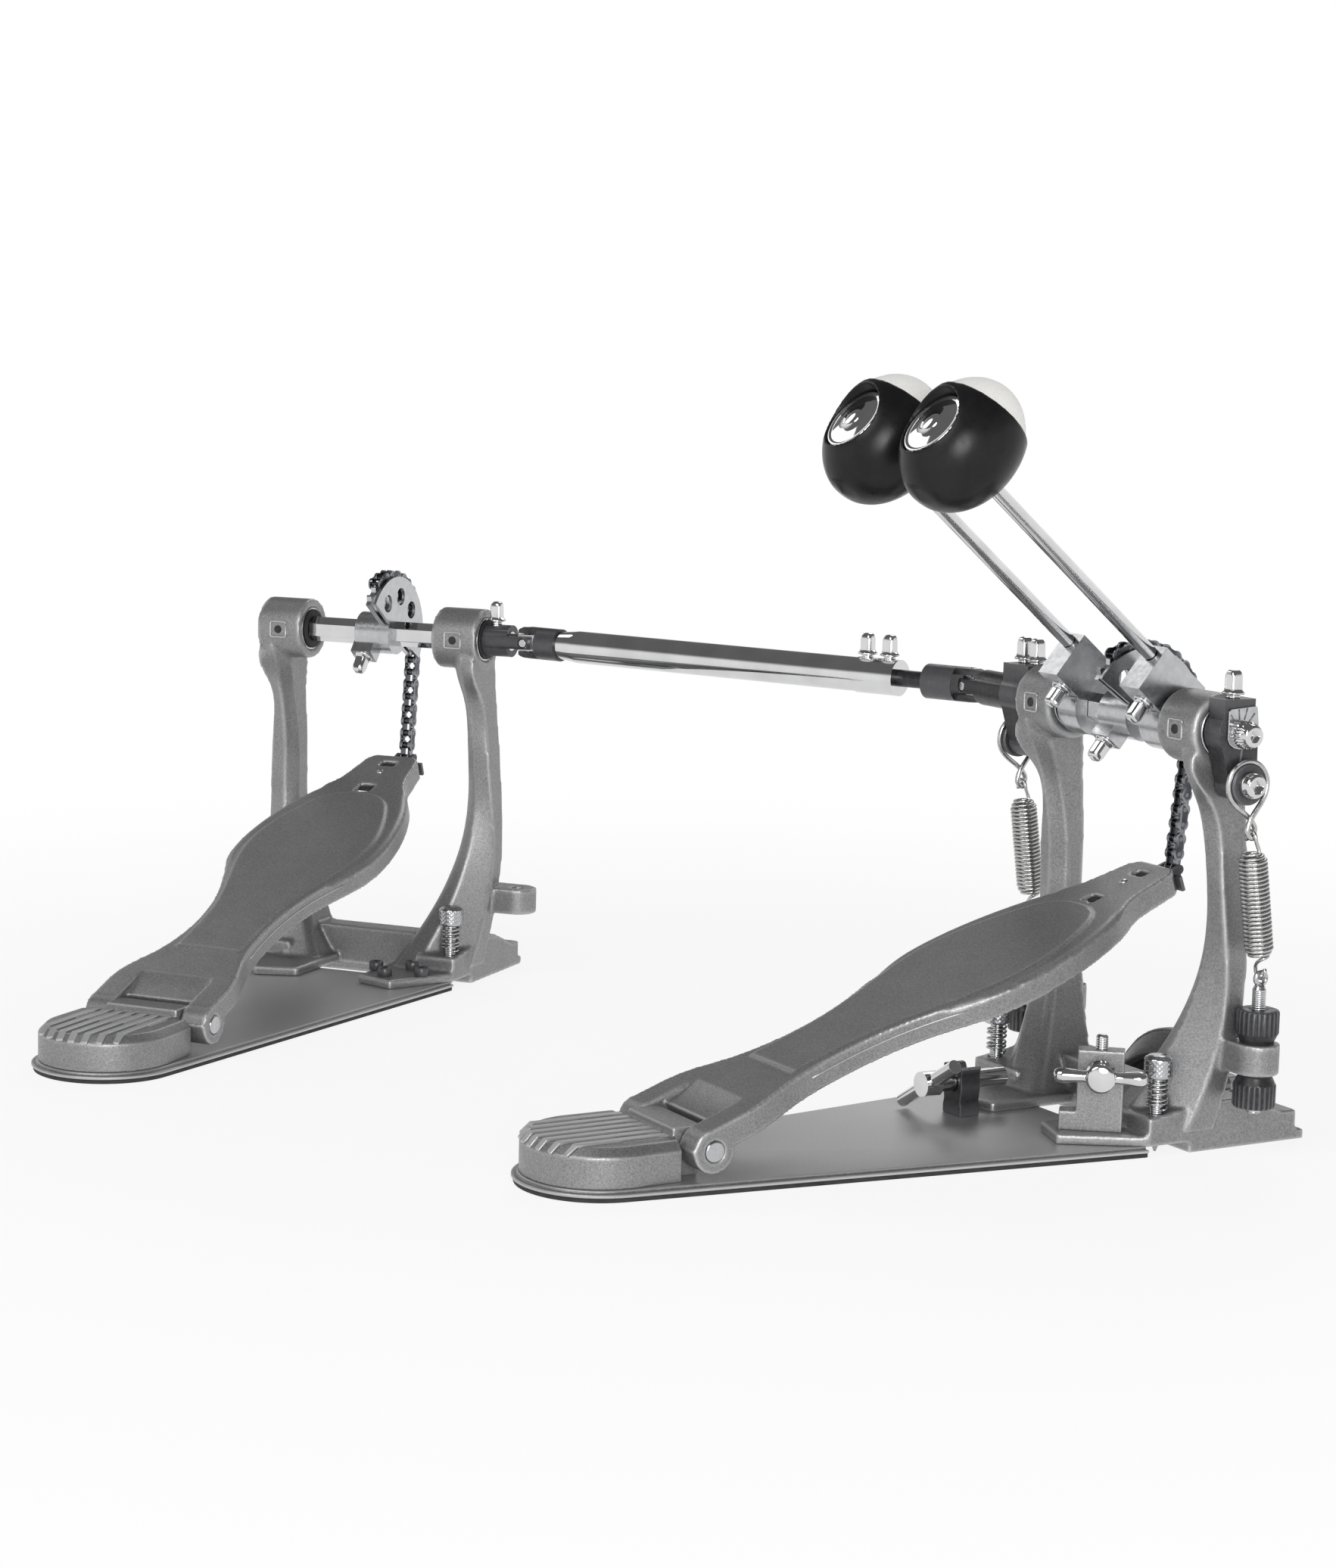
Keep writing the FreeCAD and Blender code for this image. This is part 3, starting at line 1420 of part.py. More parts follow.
def link_shape(side):
    """Pear-shaped wire loop that hangs from the pivot screw and carries the spring's hook."""
    x = shifted(S.lug_x, side)
    big, small, drop = S.link_loop_radius, S.link_foot_radius, S.link_drop
    lean = math.asin((big - small) / drop)
    out_y, out_z = math.cos(lean), -math.sin(lean)
    top_right = Vector(x, big * out_y, big * out_z)
    top_left = Vector(x, -big * out_y, big * out_z)
    foot_right = Vector(x, small * out_y, small * out_z - drop)
    foot_left = Vector(x, -small * out_y, small * out_z - drop)
    split = (foot_left + top_left) * 0.5
    opening = (split - foot_left).normalize() * S.link_opening
    curves = [
        Part.LineSegment(split, top_left),
        Part.Arc(top_left, Vector(x, 0, big), top_right),
        Part.LineSegment(top_right, foot_right),
        Part.Arc(foot_right, Vector(x, 0, -drop - small), foot_left),
        Part.LineSegment(foot_left, split - opening),
    ]
    loop = wire_solid(curves, S.link_wire)
    loop.rotate(ORIGIN, Vector(1, 0, 0), math.degrees(spring_lean()))
    loop.translate(rocker_arm())
    return loop


def rod_eye():
    return Vector(0, S.lug_y, S.rod_eye_height)


def spring_lean():
    """Angle of the spring's line from the vertical, in the plane of the pedal."""
    line = rod_eye() - rocker_arm()
    return math.atan2(line.y, -line.z)


def spring_length():
    return (rod_eye() - rocker_arm()).Length


def spring_curves():
    """Centre line of the spring along +Z, with the lower hook's centre at the origin."""
    top = spring_length() - S.link_drop - S.link_foot_radius
    steps = 4
    turns = int((top - 2 * S.spring_lead) / S.spring_pitch)
    body = turns * steps
    taper = 2 * steps
    drop = (S.spring_radius - S.spring_neck_radius) / taper
    radii = [S.spring_neck_radius + drop * i for i in range(taper)]
    radii += [S.spring_radius] * (body - 2 * taper + 1)
    radii += [S.spring_radius - drop * (i + 1) for i in range(taper)]
    stations = helix_stations(radii, S.spring_pitch, steps)
    height = S.spring_pitch * turns
    start = (top - height) / 2
    stations = [(place + Vector(0, 0, start), way) for place, way in stations]
    hook = S.hook_radius
    up = Vector(0, 0, 1)
    low_side, high_side = Vector(-hook, 0, 0), Vector(hook, 0, top)
    lead = Vector(0, 0, S.spring_wire * 2)
    low_in = low_side + up * (start - S.hook_rise + S.spring_wire)
    high_out = high_side - up * (start - S.hook_rise + S.spring_wire)
    return (
        [
            Part.LineSegment(Vector(hook, 0, 0) + lead, Vector(hook, 0, 0)),
            Part.Arc(Vector(hook, 0, 0), Vector(0, 0, -hook), low_side),
            Part.LineSegment(low_side, low_in),
        ]
        + through([(low_in, up), *stations, (high_out, up)])
        + [
            Part.LineSegment(high_out, high_side),
            Part.Arc(high_side, Vector(0, 0, top + hook), Vector(-hook, 0, top)),
            Part.LineSegment(Vector(-hook, 0, top), Vector(-hook, 0, top) - lead),
        ]
    )


def build_springs(frame):
    curves = spring_curves()
    clear = least_gap(curves, S.spring_wire, S.spring_radius * math.pi)
    print(f"return spring: least gap {clear:.2f} mm")
    coil = wire_solid(curves, S.spring_wire)
    clear = least_gap(spur_coil(), S.spur_wire / 2, S.spur_coil_radius * math.pi)
    print(f"spur spring: least gap {clear:.2f} mm")
    rods = []
    for name, side in SIDES:
        node(f"{name}_spring_link", feature(name + "_link", link_shape(side)), frame)
        spring = coil.copy()
        spring.rotate(ORIGIN, Vector(1, 0, 0), math.degrees(spring_lean()))
        spring.translate(rod_eye() + Vector(shifted(S.lug_x, side), 0, 0))
        node(f"{name}_spring", feature(name + "_coil", spring), frame)
        rods.append(spring_rod(side))
        rods += spring_nuts(side)
    node("spring_adjusters", feature("spring_rods_and_nuts", Part.makeCompound(rods)), frame)


def spring_rod(side):
    """Threaded rod through the casting's lug, flattened at the top to an eye for the spring's hook."""
    base = Vector(shifted(S.lug_x, side), S.lug_y, S.rod_bottom)
    eye = rod_eye() + Vector(base.x, 0, 0)
    rod = cylinder(S.rod_radius, base, eye + Vector(0, 0, S.rod_eye_cap))
    flat = S.rod_eye_flat / 2
    far = S.rod_radius * 2
    low = S.rod_eye_height - S.hook_radius * 2
    cheeks = [
        brick(eye.x - far, eye.x - flat, eye.y - far, eye.y + far, low, low + spring_length()),
        brick(eye.x + flat, eye.x + far, eye.y - far, eye.y + far, low, low + spring_length()),
    ]
    hole_at = eye + Vector(0, math.sin(spring_lean()) * S.hook_radius, -S.hook_radius)
    half = Vector(far, 0, 0)
    hole = cylinder(S.rod_eye_radius, hole_at - half, hole_at + half)
    return rod.cut([*cheeks, hole])


def spring_nuts(side):
    """Knurled nuts above and below the lug, each with a plain neck against it."""
    nuts = []
    for face, way in ((S.lug_top, 1), (S.lug_bottom, -1)):
        seat = Vector(shifted(S.lug_x, side), S.lug_y, face)
        up = Vector(0, 0, way)
        neck = cylinder(S.nut_neck_radius, seat, seat + up * S.nut_neck)
        grip = cylinder(S.nut_radius, seat + up * S.nut_neck, seat + up * (S.nut_neck + S.nut_height))
        bore = cylinder(S.rod_radius, seat, seat + up * (S.nut_neck + S.nut_height))
        nuts.append(merged(neck, grip).cut(bore))
    return nuts


# Drive shaft: two universal joints, a tube that slides over a rod, and bolts that lock it

def slave_placement():
    return Placement(Vector(S.slave_x, S.slave_y, 0), Rotation(Vector(0, 0, 1), S.slave_yaw))


def shaft_ends():
    """Centres of the two universal joints, in the main pedal's frame."""
    near_slave = slave_placement().multVec(Vector(S.joint_out, 0, S.axle_height))
    near_main = Vector(-S.main_joint_out, 0, S.axle_height)
    return near_slave, near_main


def shaft_placement():
    """Frame with X along the shaft, from the second pedal's joint to the main pedal's joint."""
    near_slave, near_main = shaft_ends()
    return Placement(near_slave, Rotation(Vector(1, 0, 0), near_main - near_slave))


def shaft_length():
    near_slave, near_main = shaft_ends()
    return (near_main - near_slave).Length


def yoke_shape(body_end, pin_vertical):
    """Fork with its joint centre at the origin, its body along -X from the throat to body_end."""
    throat = -S.yoke_throat
    body = cylinder(S.yoke_radius, Vector(body_end, 0, 0), Vector(throat, 0, 0))
    rear = throat - S.yoke_end
    high, half = S.yoke_radius, S.yoke_arm_half
    arms = brick(rear, 0, -high, high, -half, half).common(cylinder(high, Vector(rear, 0, 0), ORIGIN))
    tips = brick(0, S.yoke_end, -high, high, -half, half).common(Part.makeSphere(high))
    slot = brick(
        throat, S.yoke_radius, -S.yoke_slot_half, S.yoke_slot_half, -S.yoke_radius, S.yoke_radius
    )
    bore = cylinder(
        S.cross_pin + S.cross_play, Vector(0, -S.yoke_radius, 0), Vector(0, S.yoke_radius, 0)
    )
    yoke = merged(body, arms, tips).cut([slot, bore])
    return turned(yoke, ORIGIN, Vector(1, 0, 0), 90) if pin_vertical else yoke


def cross_shape(first_pin, second_pin):
    """Joint cross: a small block with two crossed pins along the given directions."""
    reach = S.yoke_radius - S.part_gap
    half = S.cross_half
    block = brick(-half, half, -half, half, -half, half)
    block.Placement = Placement(ORIGIN, Rotation(Vector(0, 1, 0), first_pin))
    return merged(
        block,
        cylinder(S.cross_pin, first_pin * -reach, first_pin * reach),
        cylinder(S.cross_pin, second_pin * -reach, second_pin * reach),
    )


def left_rocker_shape():
    """Left rocker with its stub axle inside and its yoke outside, driven by the shaft."""
    rocker = rocker_shape(-1)
    inside, outside = Vector(-S.beater_x - S.part_gap, 0, 0), Vector(-rocker_outer(-1), 0, 0)
    stub = cylinder(S.journal_radius, axle_frame() + inside, axle_frame() + outside)
    yoke = yoke_shape(rocker_outer(-1) - S.main_joint_out, False)
    yoke.rotate(ORIGIN, Vector(0, 0, 1), 180)
    yoke.translate(axle_frame() - Vector(S.main_joint_out, 0, 0))
    bolts = [key_bolt(*bolt) for bolt in rocker_bolts(-1)]
    return merged(rocker, stub, yoke).cut([*bolts, pivot_screw(-1)])


def tube_bolts():
    tube_end = shaft_length() - S.tube_end_gap
    reach = S.tube_radius - S.shaft_rod_radius + S.bolt_collar_thick
    seat = S.shaft_rod_radius + S.running_gap
    tips = [Vector(tube_end - S.tube_bolt_pitch * (index + 0.5), 0, seat) for index in range(2)]
    return [(tip, Vector(0, 0, 1), reach) for tip in tips]


def tube_shape():
    """Tube tapered at the yoke end, with a thicker collar for its lock bolts at the open end."""
    end = shaft_length() - S.tube_end_gap
    cone_end = S.tube_start + S.tube_cone
    way = Vector(1, 0, 0)
    taper = Part.makeCone(S.tube_cone_radius, S.tube_radius, S.tube_cone, way * S.tube_start, way)
    barrel = cylinder(S.tube_radius, way * cone_end, way * end)
    collar = cylinder(S.tube_radius + S.tube_collar_step, way * (end - S.tube_collar), way * end)
    bore = cylinder(S.shaft_rod_radius + S.running_gap, way * cone_end, way * end)
    return merged(taper, barrel, collar).cut([bore, *(bolt_room(*bolt) for bolt in tube_bolts())])


def build_shaft(main_frame, slave_frame):
    frame = shaft_placement()
    length = shaft_length()
    yoke = yoke_shape(-(S.joint_out - hub_outer() - S.bearing_sink - S.part_gap), False)
    yoke.translate(Vector(S.joint_out, 0, S.axle_height))
    axle_end = cylinder(
        S.journal_radius, axle_frame(), axle_frame() + Vector(S.joint_out - S.yoke_throat, 0, 0)
    )
    yoke = yoke.cut([axle_end, bolt_room(*slave_yoke_bolt())])
    node("slave_yoke", feature("slave_axle_yoke", yoke), slave_frame)
    tube_yoke = turned(yoke_shape(-S.tube_start, True), ORIGIN, Vector(0, 0, 1), 180)
    node("tube_yoke", feature("tube_end_yoke", tube_yoke), frame)
    node("drive_tube", feature("tube", tube_shape()), frame)
    bolts = [key_bolt(*bolt) for bolt in tube_bolts()]
    node("tube_bolts", feature("tube_lock_bolts", Part.makeCompound(bolts)), frame)
    rod_yoke = yoke_shape(-S.rod_yoke_length - S.yoke_throat, True)
    rod_yoke.translate(Vector(length, 0, 0))
    rod_end = length - S.rod_yoke_length - S.yoke_throat
    rod = cylinder(S.shaft_rod_radius, Vector(S.shaft_rod_inside, 0, 0), Vector(rod_end, 0, 0))
    node("drive_rod", feature("rod", merged(rod, rod_yoke)), frame)
    level = frame.Rotation.inverted().multVec(slave_frame.Rotation.multVec(Vector(0, 1, 0)))
    node("slave_cross", feature("slave_joint_cross", cross_shape(level, Vector(0, 0, 1))), frame)
    level = frame.Rotation.inverted().multVec(Vector(0, 1, 0))
    cross = cross_shape(level, Vector(0, 0, 1))
    cross.translate(Vector(length, 0, 0))
    node("main_cross", feature("main_joint_cross", cross), frame)


def slave_yoke_bolt():
    x = hub_outer() + S.bearing_sink + S.part_gap + S.bolt_collar
    tip = Vector(x, 0, S.axle_height + S.journal_radius)
    return tip, Vector(0, 0, 1), S.yoke_radius - S.journal_radius + S.bolt_collar_thick


def build_rockers(main_frame, slave_frame):
    axle_end = cylinder(S.journal_radius, axle_frame(), axle_frame() + Vector(rocker_outer(1), 0, 0))
    rooms = [bolt_room(*bolt) for bolt in rocker_bolts(1)]
    right = rocker_shape(1).cut([axle_end, *rooms, pivot_screw(1)])
    node("right_rocker", feature("right_rocker_arm", right), main_frame)
    node("left_rocker", feature("left_rocker_arm", left_rocker_shape()), main_frame)
    main_set = [key_bolt(*bolt) for bolt in (sprocket_bolt(), beater_bolt(1), *rocker_bolts(1))]
    main_set += [pivot_screw(1), axle_screw()]
    left_set = [key_bolt(*bolt) for bolt in (beater_bolt(-1), *rocker_bolts(-1))]
    left_set.append(pivot_screw(-1))
    slave_set = [key_bolt(*bolt) for bolt in (sprocket_bolt(), slave_yoke_bolt())]
    node("main_axle_bolts", feature("main_bolts", Part.makeCompound(main_set)), main_frame)
    node("left_drive_bolts", feature("left_bolts", Part.makeCompound(left_set)), main_frame)
    node("slave_axle_bolts", feature("slave_bolts", Part.makeCompound(slave_set)), slave_frame)


# Hoop clamp of the main pedal, with the side block and wing bolt that work it

def jaw_shape():
    """Arched plate that tips about its pivot, with a lip that presses the drum's hoop to the sole plate."""
    half, low, side_high, mid_high = S.jaw_half, S.jaw_low, S.jaw_side_high, S.jaw_mid_high
    y = S.jaw_y
    low_left, low_right = Vector(-half, y, low), Vector(half, y, low)
    high_left, high_right = Vector(-half, y, side_high), Vector(half, y, side_high)
    arch = Part.Wire(
        [
            Part.makeLine(low_left, low_right),
            Part.makeLine(low_right, high_right),
            Part.Arc(high_right, Vector(0, y, mid_high), high_left).toShape(),
            Part.makeLine(high_left, low_left),
        ]
    )
    plate = Part.Face(arch).extrude(Vector(0, S.jaw_thick, 0))
    lip = brick(
        -S.jaw_lip_half, S.jaw_lip_half, y, S.jaw_lip_reach, S.jaw_lip_low, S.jaw_lip_low + S.jaw_lip_thick
    )
    center = Vector(0, y + S.jaw_thick / 2, S.jaw_pin_height)
    pin_half = Vector(S.foot_inner, 0, 0)
    return merged(plate, lip, cylinder(S.jaw_pin_radius, center - pin_half, center + pin_half))


def block_frame():
    """Frame of the side block: X along its face, Y out of its face, origin on the flange."""
    base = Vector(S.block_x, -S.block_y, plate_top() + S.flange_thick)
    return Placement(base, Rotation(Vector(0, 0, 1), S.block_turn - 180))


def build_clamp(frame):
    node("hoop_clamp_jaw", feature("jaw", jaw_shape()), frame)
    base_z = plate_top() + S.flange_thick
    half, deep = S.block_long / 2, S.block_deep / 2
    rise = S.wing_height - base_z
    foot = brick(-half, half, -deep, deep, 0, S.block_base_high)
    column = brick(-half, S.block_column - half, -deep, deep, 0, S.block_top - base_z)
    mid = S.block_column / 2 - half
    bore = cylinder(S.wing_shank + S.running_gap, Vector(mid, -deep, rise), Vector(mid, deep, rise))
    block = merged(foot, column).cut(bore)
    node("clamp_block", feature("block", block), block_frame())
    face = Vector(mid, deep, rise)
    out = Vector(0, 1, 0)
    hub = face + out * S.wing_gap
    across = Vector(S.wing_span / 2, 0, 0)
    mid_hub = hub + out * (S.wing_hub_long / 2)
    wing = merged(
        cylinder(S.wing_shank, face - out * S.block_deep, hub),
        cylinder(S.wing_hub_radius, hub, hub + out * S.wing_hub_long),
        cylinder(S.wing_radius, mid_hub - across, mid_hub + across),
    )
    node("clamp_wing_bolt", feature("wing_bolt", wing), block_frame())


# Drum key stored in a spring clip on the base plate

def key_clip_shape():
    half = S.clip_width / 2
    body = brick(
        S.key_x - half, S.key_x + half, -S.clip_y - S.clip_long, -S.clip_y, plate_top(), S.clip_top
    )
    front = Vector(S.key_x, -S.clip_y, S.key_height)
    back = Vector(S.key_x, -S.clip_y - S.clip_long, S.key_height)
    bore = cylinder(S.key_shank + S.running_gap, back, front)
    mouth = S.clip_mouth / 2
    gap = brick(
        S.key_x - mouth, S.key_x + mouth, -S.clip_y - S.clip_long, -S.clip_y, S.key_height, S.clip_top
    )
    return body.cut([bore, gap])


def drum_key_shape():
    front = Vector(S.key_x, -S.key_front, S.key_height)
    back = Vector(S.key_x, -S.key_back, S.key_height)
    turn = math.radians(S.key_handle_turn)
    across = Vector(math.cos(turn), 0, math.sin(turn)) * (S.key_handle / 2)
    shank = cylinder(S.key_shank, back, front)
    knob = cylinder(S.key_knob, back - Vector(0, S.key_shank, 0), back + Vector(0, S.key_shank, 0))
    handle = cylinder(S.key_handle_radius, back - across, back + across)
    flat = S.key_socket
    socket = brick(
        S.key_x - flat, S.key_x + flat, front.y - S.key_socket_deep, front.y, front.z - flat, front.z + flat
    )
    return merged(shank, knob, handle).cut(socket)


def build_key(frame):
    node("key_clip", feature("clip", key_clip_shape()), frame)
    node("drum_key", feature("key", drum_key_shape()), frame)


def write_steps():
    """Stops on any failed object, then writes each named sub-part to its own file."""
    doc.recompute()
    for item in doc.Objects:
        if "Invalid" in item.State or "Error" in item.State:
            raise RuntimeError(f"{item.Name} failed: {item.State}")
    for item in NODES:
        if item.Shape.isNull() or not item.Shape.isValid() or not item.Shape.Solids:
            raise RuntimeError(f"{item.Label} has no valid solid")
    os.makedirs("parts", exist_ok=True)
    for item in NODES:
        item.Shape.exportStep(f"parts/{item.Label}.step")
    print(f"{len(NODES)} sub-parts written")


main = Placement()
slave = slave_placement()
for pedal_name, pedal_frame in (("main", main), ("slave", slave)):
    build_base(pedal_name, pedal_frame)
    build_casting(pedal_name, pedal_frame)
    build_spurs(pedal_name, pedal_frame)
    build_footboard(pedal_name, pedal_frame)
    build_chain(pedal_name, pedal_frame)
build_axles(main, slave)
build_beaters(main)
build_rockers(main, slave)
build_springs(main)
build_shaft(main, slave)
build_clamp(main)
build_key(main)
write_steps()
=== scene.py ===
"""Looks of the double bass drum pedal: materials, soft edges, springs, threads, knurls and felt."""

import json
import math

import bmesh
import bpy
from mathutils import Matrix, Vector


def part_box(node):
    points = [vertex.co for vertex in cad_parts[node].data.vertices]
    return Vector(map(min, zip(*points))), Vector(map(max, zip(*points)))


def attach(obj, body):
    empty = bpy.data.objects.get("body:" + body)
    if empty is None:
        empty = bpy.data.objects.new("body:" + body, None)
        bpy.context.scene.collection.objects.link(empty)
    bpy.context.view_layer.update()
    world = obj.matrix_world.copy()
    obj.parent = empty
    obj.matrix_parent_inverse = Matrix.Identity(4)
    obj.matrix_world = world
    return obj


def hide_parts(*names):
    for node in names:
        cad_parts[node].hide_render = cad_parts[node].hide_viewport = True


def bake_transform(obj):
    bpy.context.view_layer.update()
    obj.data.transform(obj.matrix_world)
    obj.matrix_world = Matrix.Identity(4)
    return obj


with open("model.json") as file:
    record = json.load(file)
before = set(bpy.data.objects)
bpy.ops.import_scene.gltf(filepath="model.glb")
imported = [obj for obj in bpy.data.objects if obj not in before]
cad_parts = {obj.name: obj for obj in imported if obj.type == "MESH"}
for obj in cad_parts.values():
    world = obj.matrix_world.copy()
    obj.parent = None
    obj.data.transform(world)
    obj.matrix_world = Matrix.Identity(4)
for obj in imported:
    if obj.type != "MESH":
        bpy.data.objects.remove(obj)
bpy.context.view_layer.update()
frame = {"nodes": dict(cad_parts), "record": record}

# Lengths are in millimetres in a pedal's own frame; a place matrix brings them into the scene in metres
MM = 0.001
UNIT = Matrix.Scale(MM, 4)
UP = Vector((0, 0, 1))
AXLE = Vector((0, 0, 176))

# Frames of both pedals, and of the drive shaft between the joints on their axles
MAIN = UNIT
SLAVE_TURN = Matrix.Translation((-413.75, -159.64, 0)) @ Matrix.Rotation(math.radians(38.377), 4, "Z")
SLAVE = UNIT @ SLAVE_TURN
SLAVE_JOINT = SLAVE_TURN @ Vector((84.5, 0, AXLE.z))
MAIN_JOINT = Vector((-112.5, 0, AXLE.z))
SHAFT_RUN = MAIN_JOINT - SLAVE_JOINT
SHAFT_TURN = Matrix.Rotation(math.atan2(SHAFT_RUN.y, SHAFT_RUN.x), 4, "Z")
SHAFT = UNIT @ Matrix.Translation(SLAVE_JOINT) @ SHAFT_TURN
TUBE_BOLTS = (212.29, 200.29)
TUBE_SEAT = 3.95

# Frame's flange, which carries the hoop clamp's block, and the second pedal's screws on it
FLANGE_TOP = 9.0
FLANGE_SCREWS = ((19, -34), (30, -46), (35, -25), (46, -37))

# Hoop clamp's block: length, column, top and face, and the wing bolt's height and wings
CLAMP_LONG, CLAMP_COLUMN, CLAMP_TOP = 26.0, 19.0, 43.0
CLAMP_FACE, WING_HEIGHT, WING_OUT = 4.5, 34.0, 8.5
BLOCK_TURN = Matrix.Rotation(math.radians(52 - 180), 4, "Z")
BLOCK = UNIT @ Matrix.Translation((36.8, -39.3, FLANGE_TOP)) @ BLOCK_TURN

# Hoop clamp's jaw: radius of its arch, depth of the arch's centre below the floor, face and lower edge
JAW_ARCH, JAW_DROP, JAW_FACE, JAW_LOW = 42.5, 5.5, 33.4, 8.3
JAW_RIDGE, JAW_STEP, JAW_STEPS = 27.5, 3.0, 11

# Drum key's clip: its middle and its two ends
KEY_X = -22.0
KEY_CLIP_ENDS = (-58, -68)

# Beaters: sideways place, reach along the shaft, shift toward the drum, and both directions
BEATER_X, BEATER_REACH, BEATER_OFFSET = 28.0, 157.0, 14.0
SHAFT_WAY = Vector((0, -0.7694, 0.6388))
STRIKE_WAY = Vector((0, 0.6388, 0.7694))
DISC_RISE = 14.6
HEAD_CROWN = 1.8

# Bearing hubs with their faces; rockers with their bolts' seat, outer face, angle plate and marks
HUB_RADIUS, HUB_OUTER, HUB_INNER = 15.25, 62.0, 37.0
HUB_MIDDLE = (HUB_OUTER + HUB_INNER) / 2
ROCKER_TOP, ROCKER_FACE = 181, 71.4
ANGLE_PLATE, MARK_START, MARK_HALF = 1.0, 6.0, 0.33

# Heel plate: centre of its round end, radii of its top edge and of its bevel's foot, and its ribs
HEEL = (-4.0, -248.5)
HEEL_EDGE, HEEL_FOOT = 26.9, 30.3
HEEL_FRONT, HEEL_TOP, HEEL_LOW = -227.6, 20.0, 16.8
HEEL_RIB_PITCH, HEEL_RIB_HALF = 6.2, 1.75
HEEL_RIB_TOP, HEEL_RIB_LOW = 21.4, 17.9

# Footboard: hinge line (Y, Z), tilt, length, height of its rim above the hinge, shift of its front part
HINGE = (-215.6, 16.6)
BOARD_TILT = math.radians(20.2)
BOARD_LENGTH, BOARD_RIM, BOARD_SHIFT = 250, 8.8, 3.0

# Footboard's skirt line, rolled wings, rivet and slots (place before the tip, width, length)
SKIRT_LINE, SKIRT_DROP, SKIRT_OUT, SKIRT_WIRE = (50, 124), 4.0, 14, 0.4
WINGS, WING_ROLL = (112, 214), 3.2
RIVET_ALONG = 231.5
SLOTS = ((32, 8.0, 7.0), (6.5, 8.0, 5.0))
SLOT_DEPTH, SLOT_OVERLAP = 1.6, 0.3

# Spurs: head, point, the diamond knurl around the head, and the locking springs
SPUR_HEAD, SPUR_POINT = 9.2, 5
KNURL_RADIUS, KNURL_SIDES, KNURL_LEADS, KNURL_CLIMB = 6.0, 96, 8, 1.55
SPUR_SPRING_RADIUS, SPUR_SPRING_TURNS, SPUR_SPRING_WIRE = 4.0, 5.5, 0.55

# Spring line: from the rocker's pivot screw down to the eye of the threaded rod
SPRING_X = {"left": -83.3, "right": 74.3}
LUG_Y, LUG_FACES = 15.1, (35.5, 48.5)
ROCKER_PIVOT = Vector((0, 3.5, 155.5))
ROD_LOW, ROD_HIGH, ROD_EYE = 19, 71, 78.0
EYE_RADIUS, EYE_WIRE, EYE_SHIFT = 2.6, 1.05, 0.4
SPRING_LINE = Vector((0, ROCKER_PIVOT.y - LUG_Y, ROCKER_PIVOT.z - ROD_EYE))
SPRING_LEAN = Matrix.Rotation(-math.atan2(SPRING_LINE.y, SPRING_LINE.z), 4, "X")

# Wire links: loop around the pivot screw, drop to the foot, and how the wire's ends cross
LINK_REACH = 22.0
LINK_LOOP, LINK_DROP, LINK_FOOT, LINK_WIRE = 9.5, 19.0, 3.0, 1.1
LINK_CROSS, LINK_SPREAD = 20, 1.3

# Return springs: wire, coil, hooks, and the stretch at each end that stays with its hook
SPRING_WIRE, SPRING_RADIUS, SPRING_NECK = 0.78, 5.3, 3.4
SPRING_TURNS, SPRING_PITCH = 25, 1.75
HOOK_RADIUS, HOOK_RISE = 2.9, 5.6
STEPS_PER_TURN = 24

# Meshes: width of rounded edges, angles of a sharp edge and of a flat area, distance of merged points
EDGE = 0.45
SHARP = math.radians(32)
FLAT = math.radians(0.4)
MERGED = 1e-6

# CAD nodes that have a piece in their place
DONE = set()

# Stage: the floor's half width and middle in metres, its glow, and the studio ceiling's brightness
FLOOR_HALF, FLOOR_MIDDLE, FLOOR_GLOW = 20, (-0.2, -0.1, 0), 0.85
CEILING = 0.15

# Camera fitted to the photograph: the picture's size, focal length and image centre in pixels,
# place in millimetres, and azimuth, elevation and roll in degrees
PHOTO_WIDE, PHOTO_HIGH = 1765, 2072
FOCAL_PIXELS, CENTER_PIXEL = 4152.955, (877.869, 1039.422)
CAMERA_PLACE = Vector((1049.021, -820.888, 325.758))
CAMERA_ANGLES = (60.378, 8.026, 1.443)
SENSOR = 36.0


# Materials

def set_inputs(node, values):
    for name, value in values.items():
        node.inputs[name].default_value = value


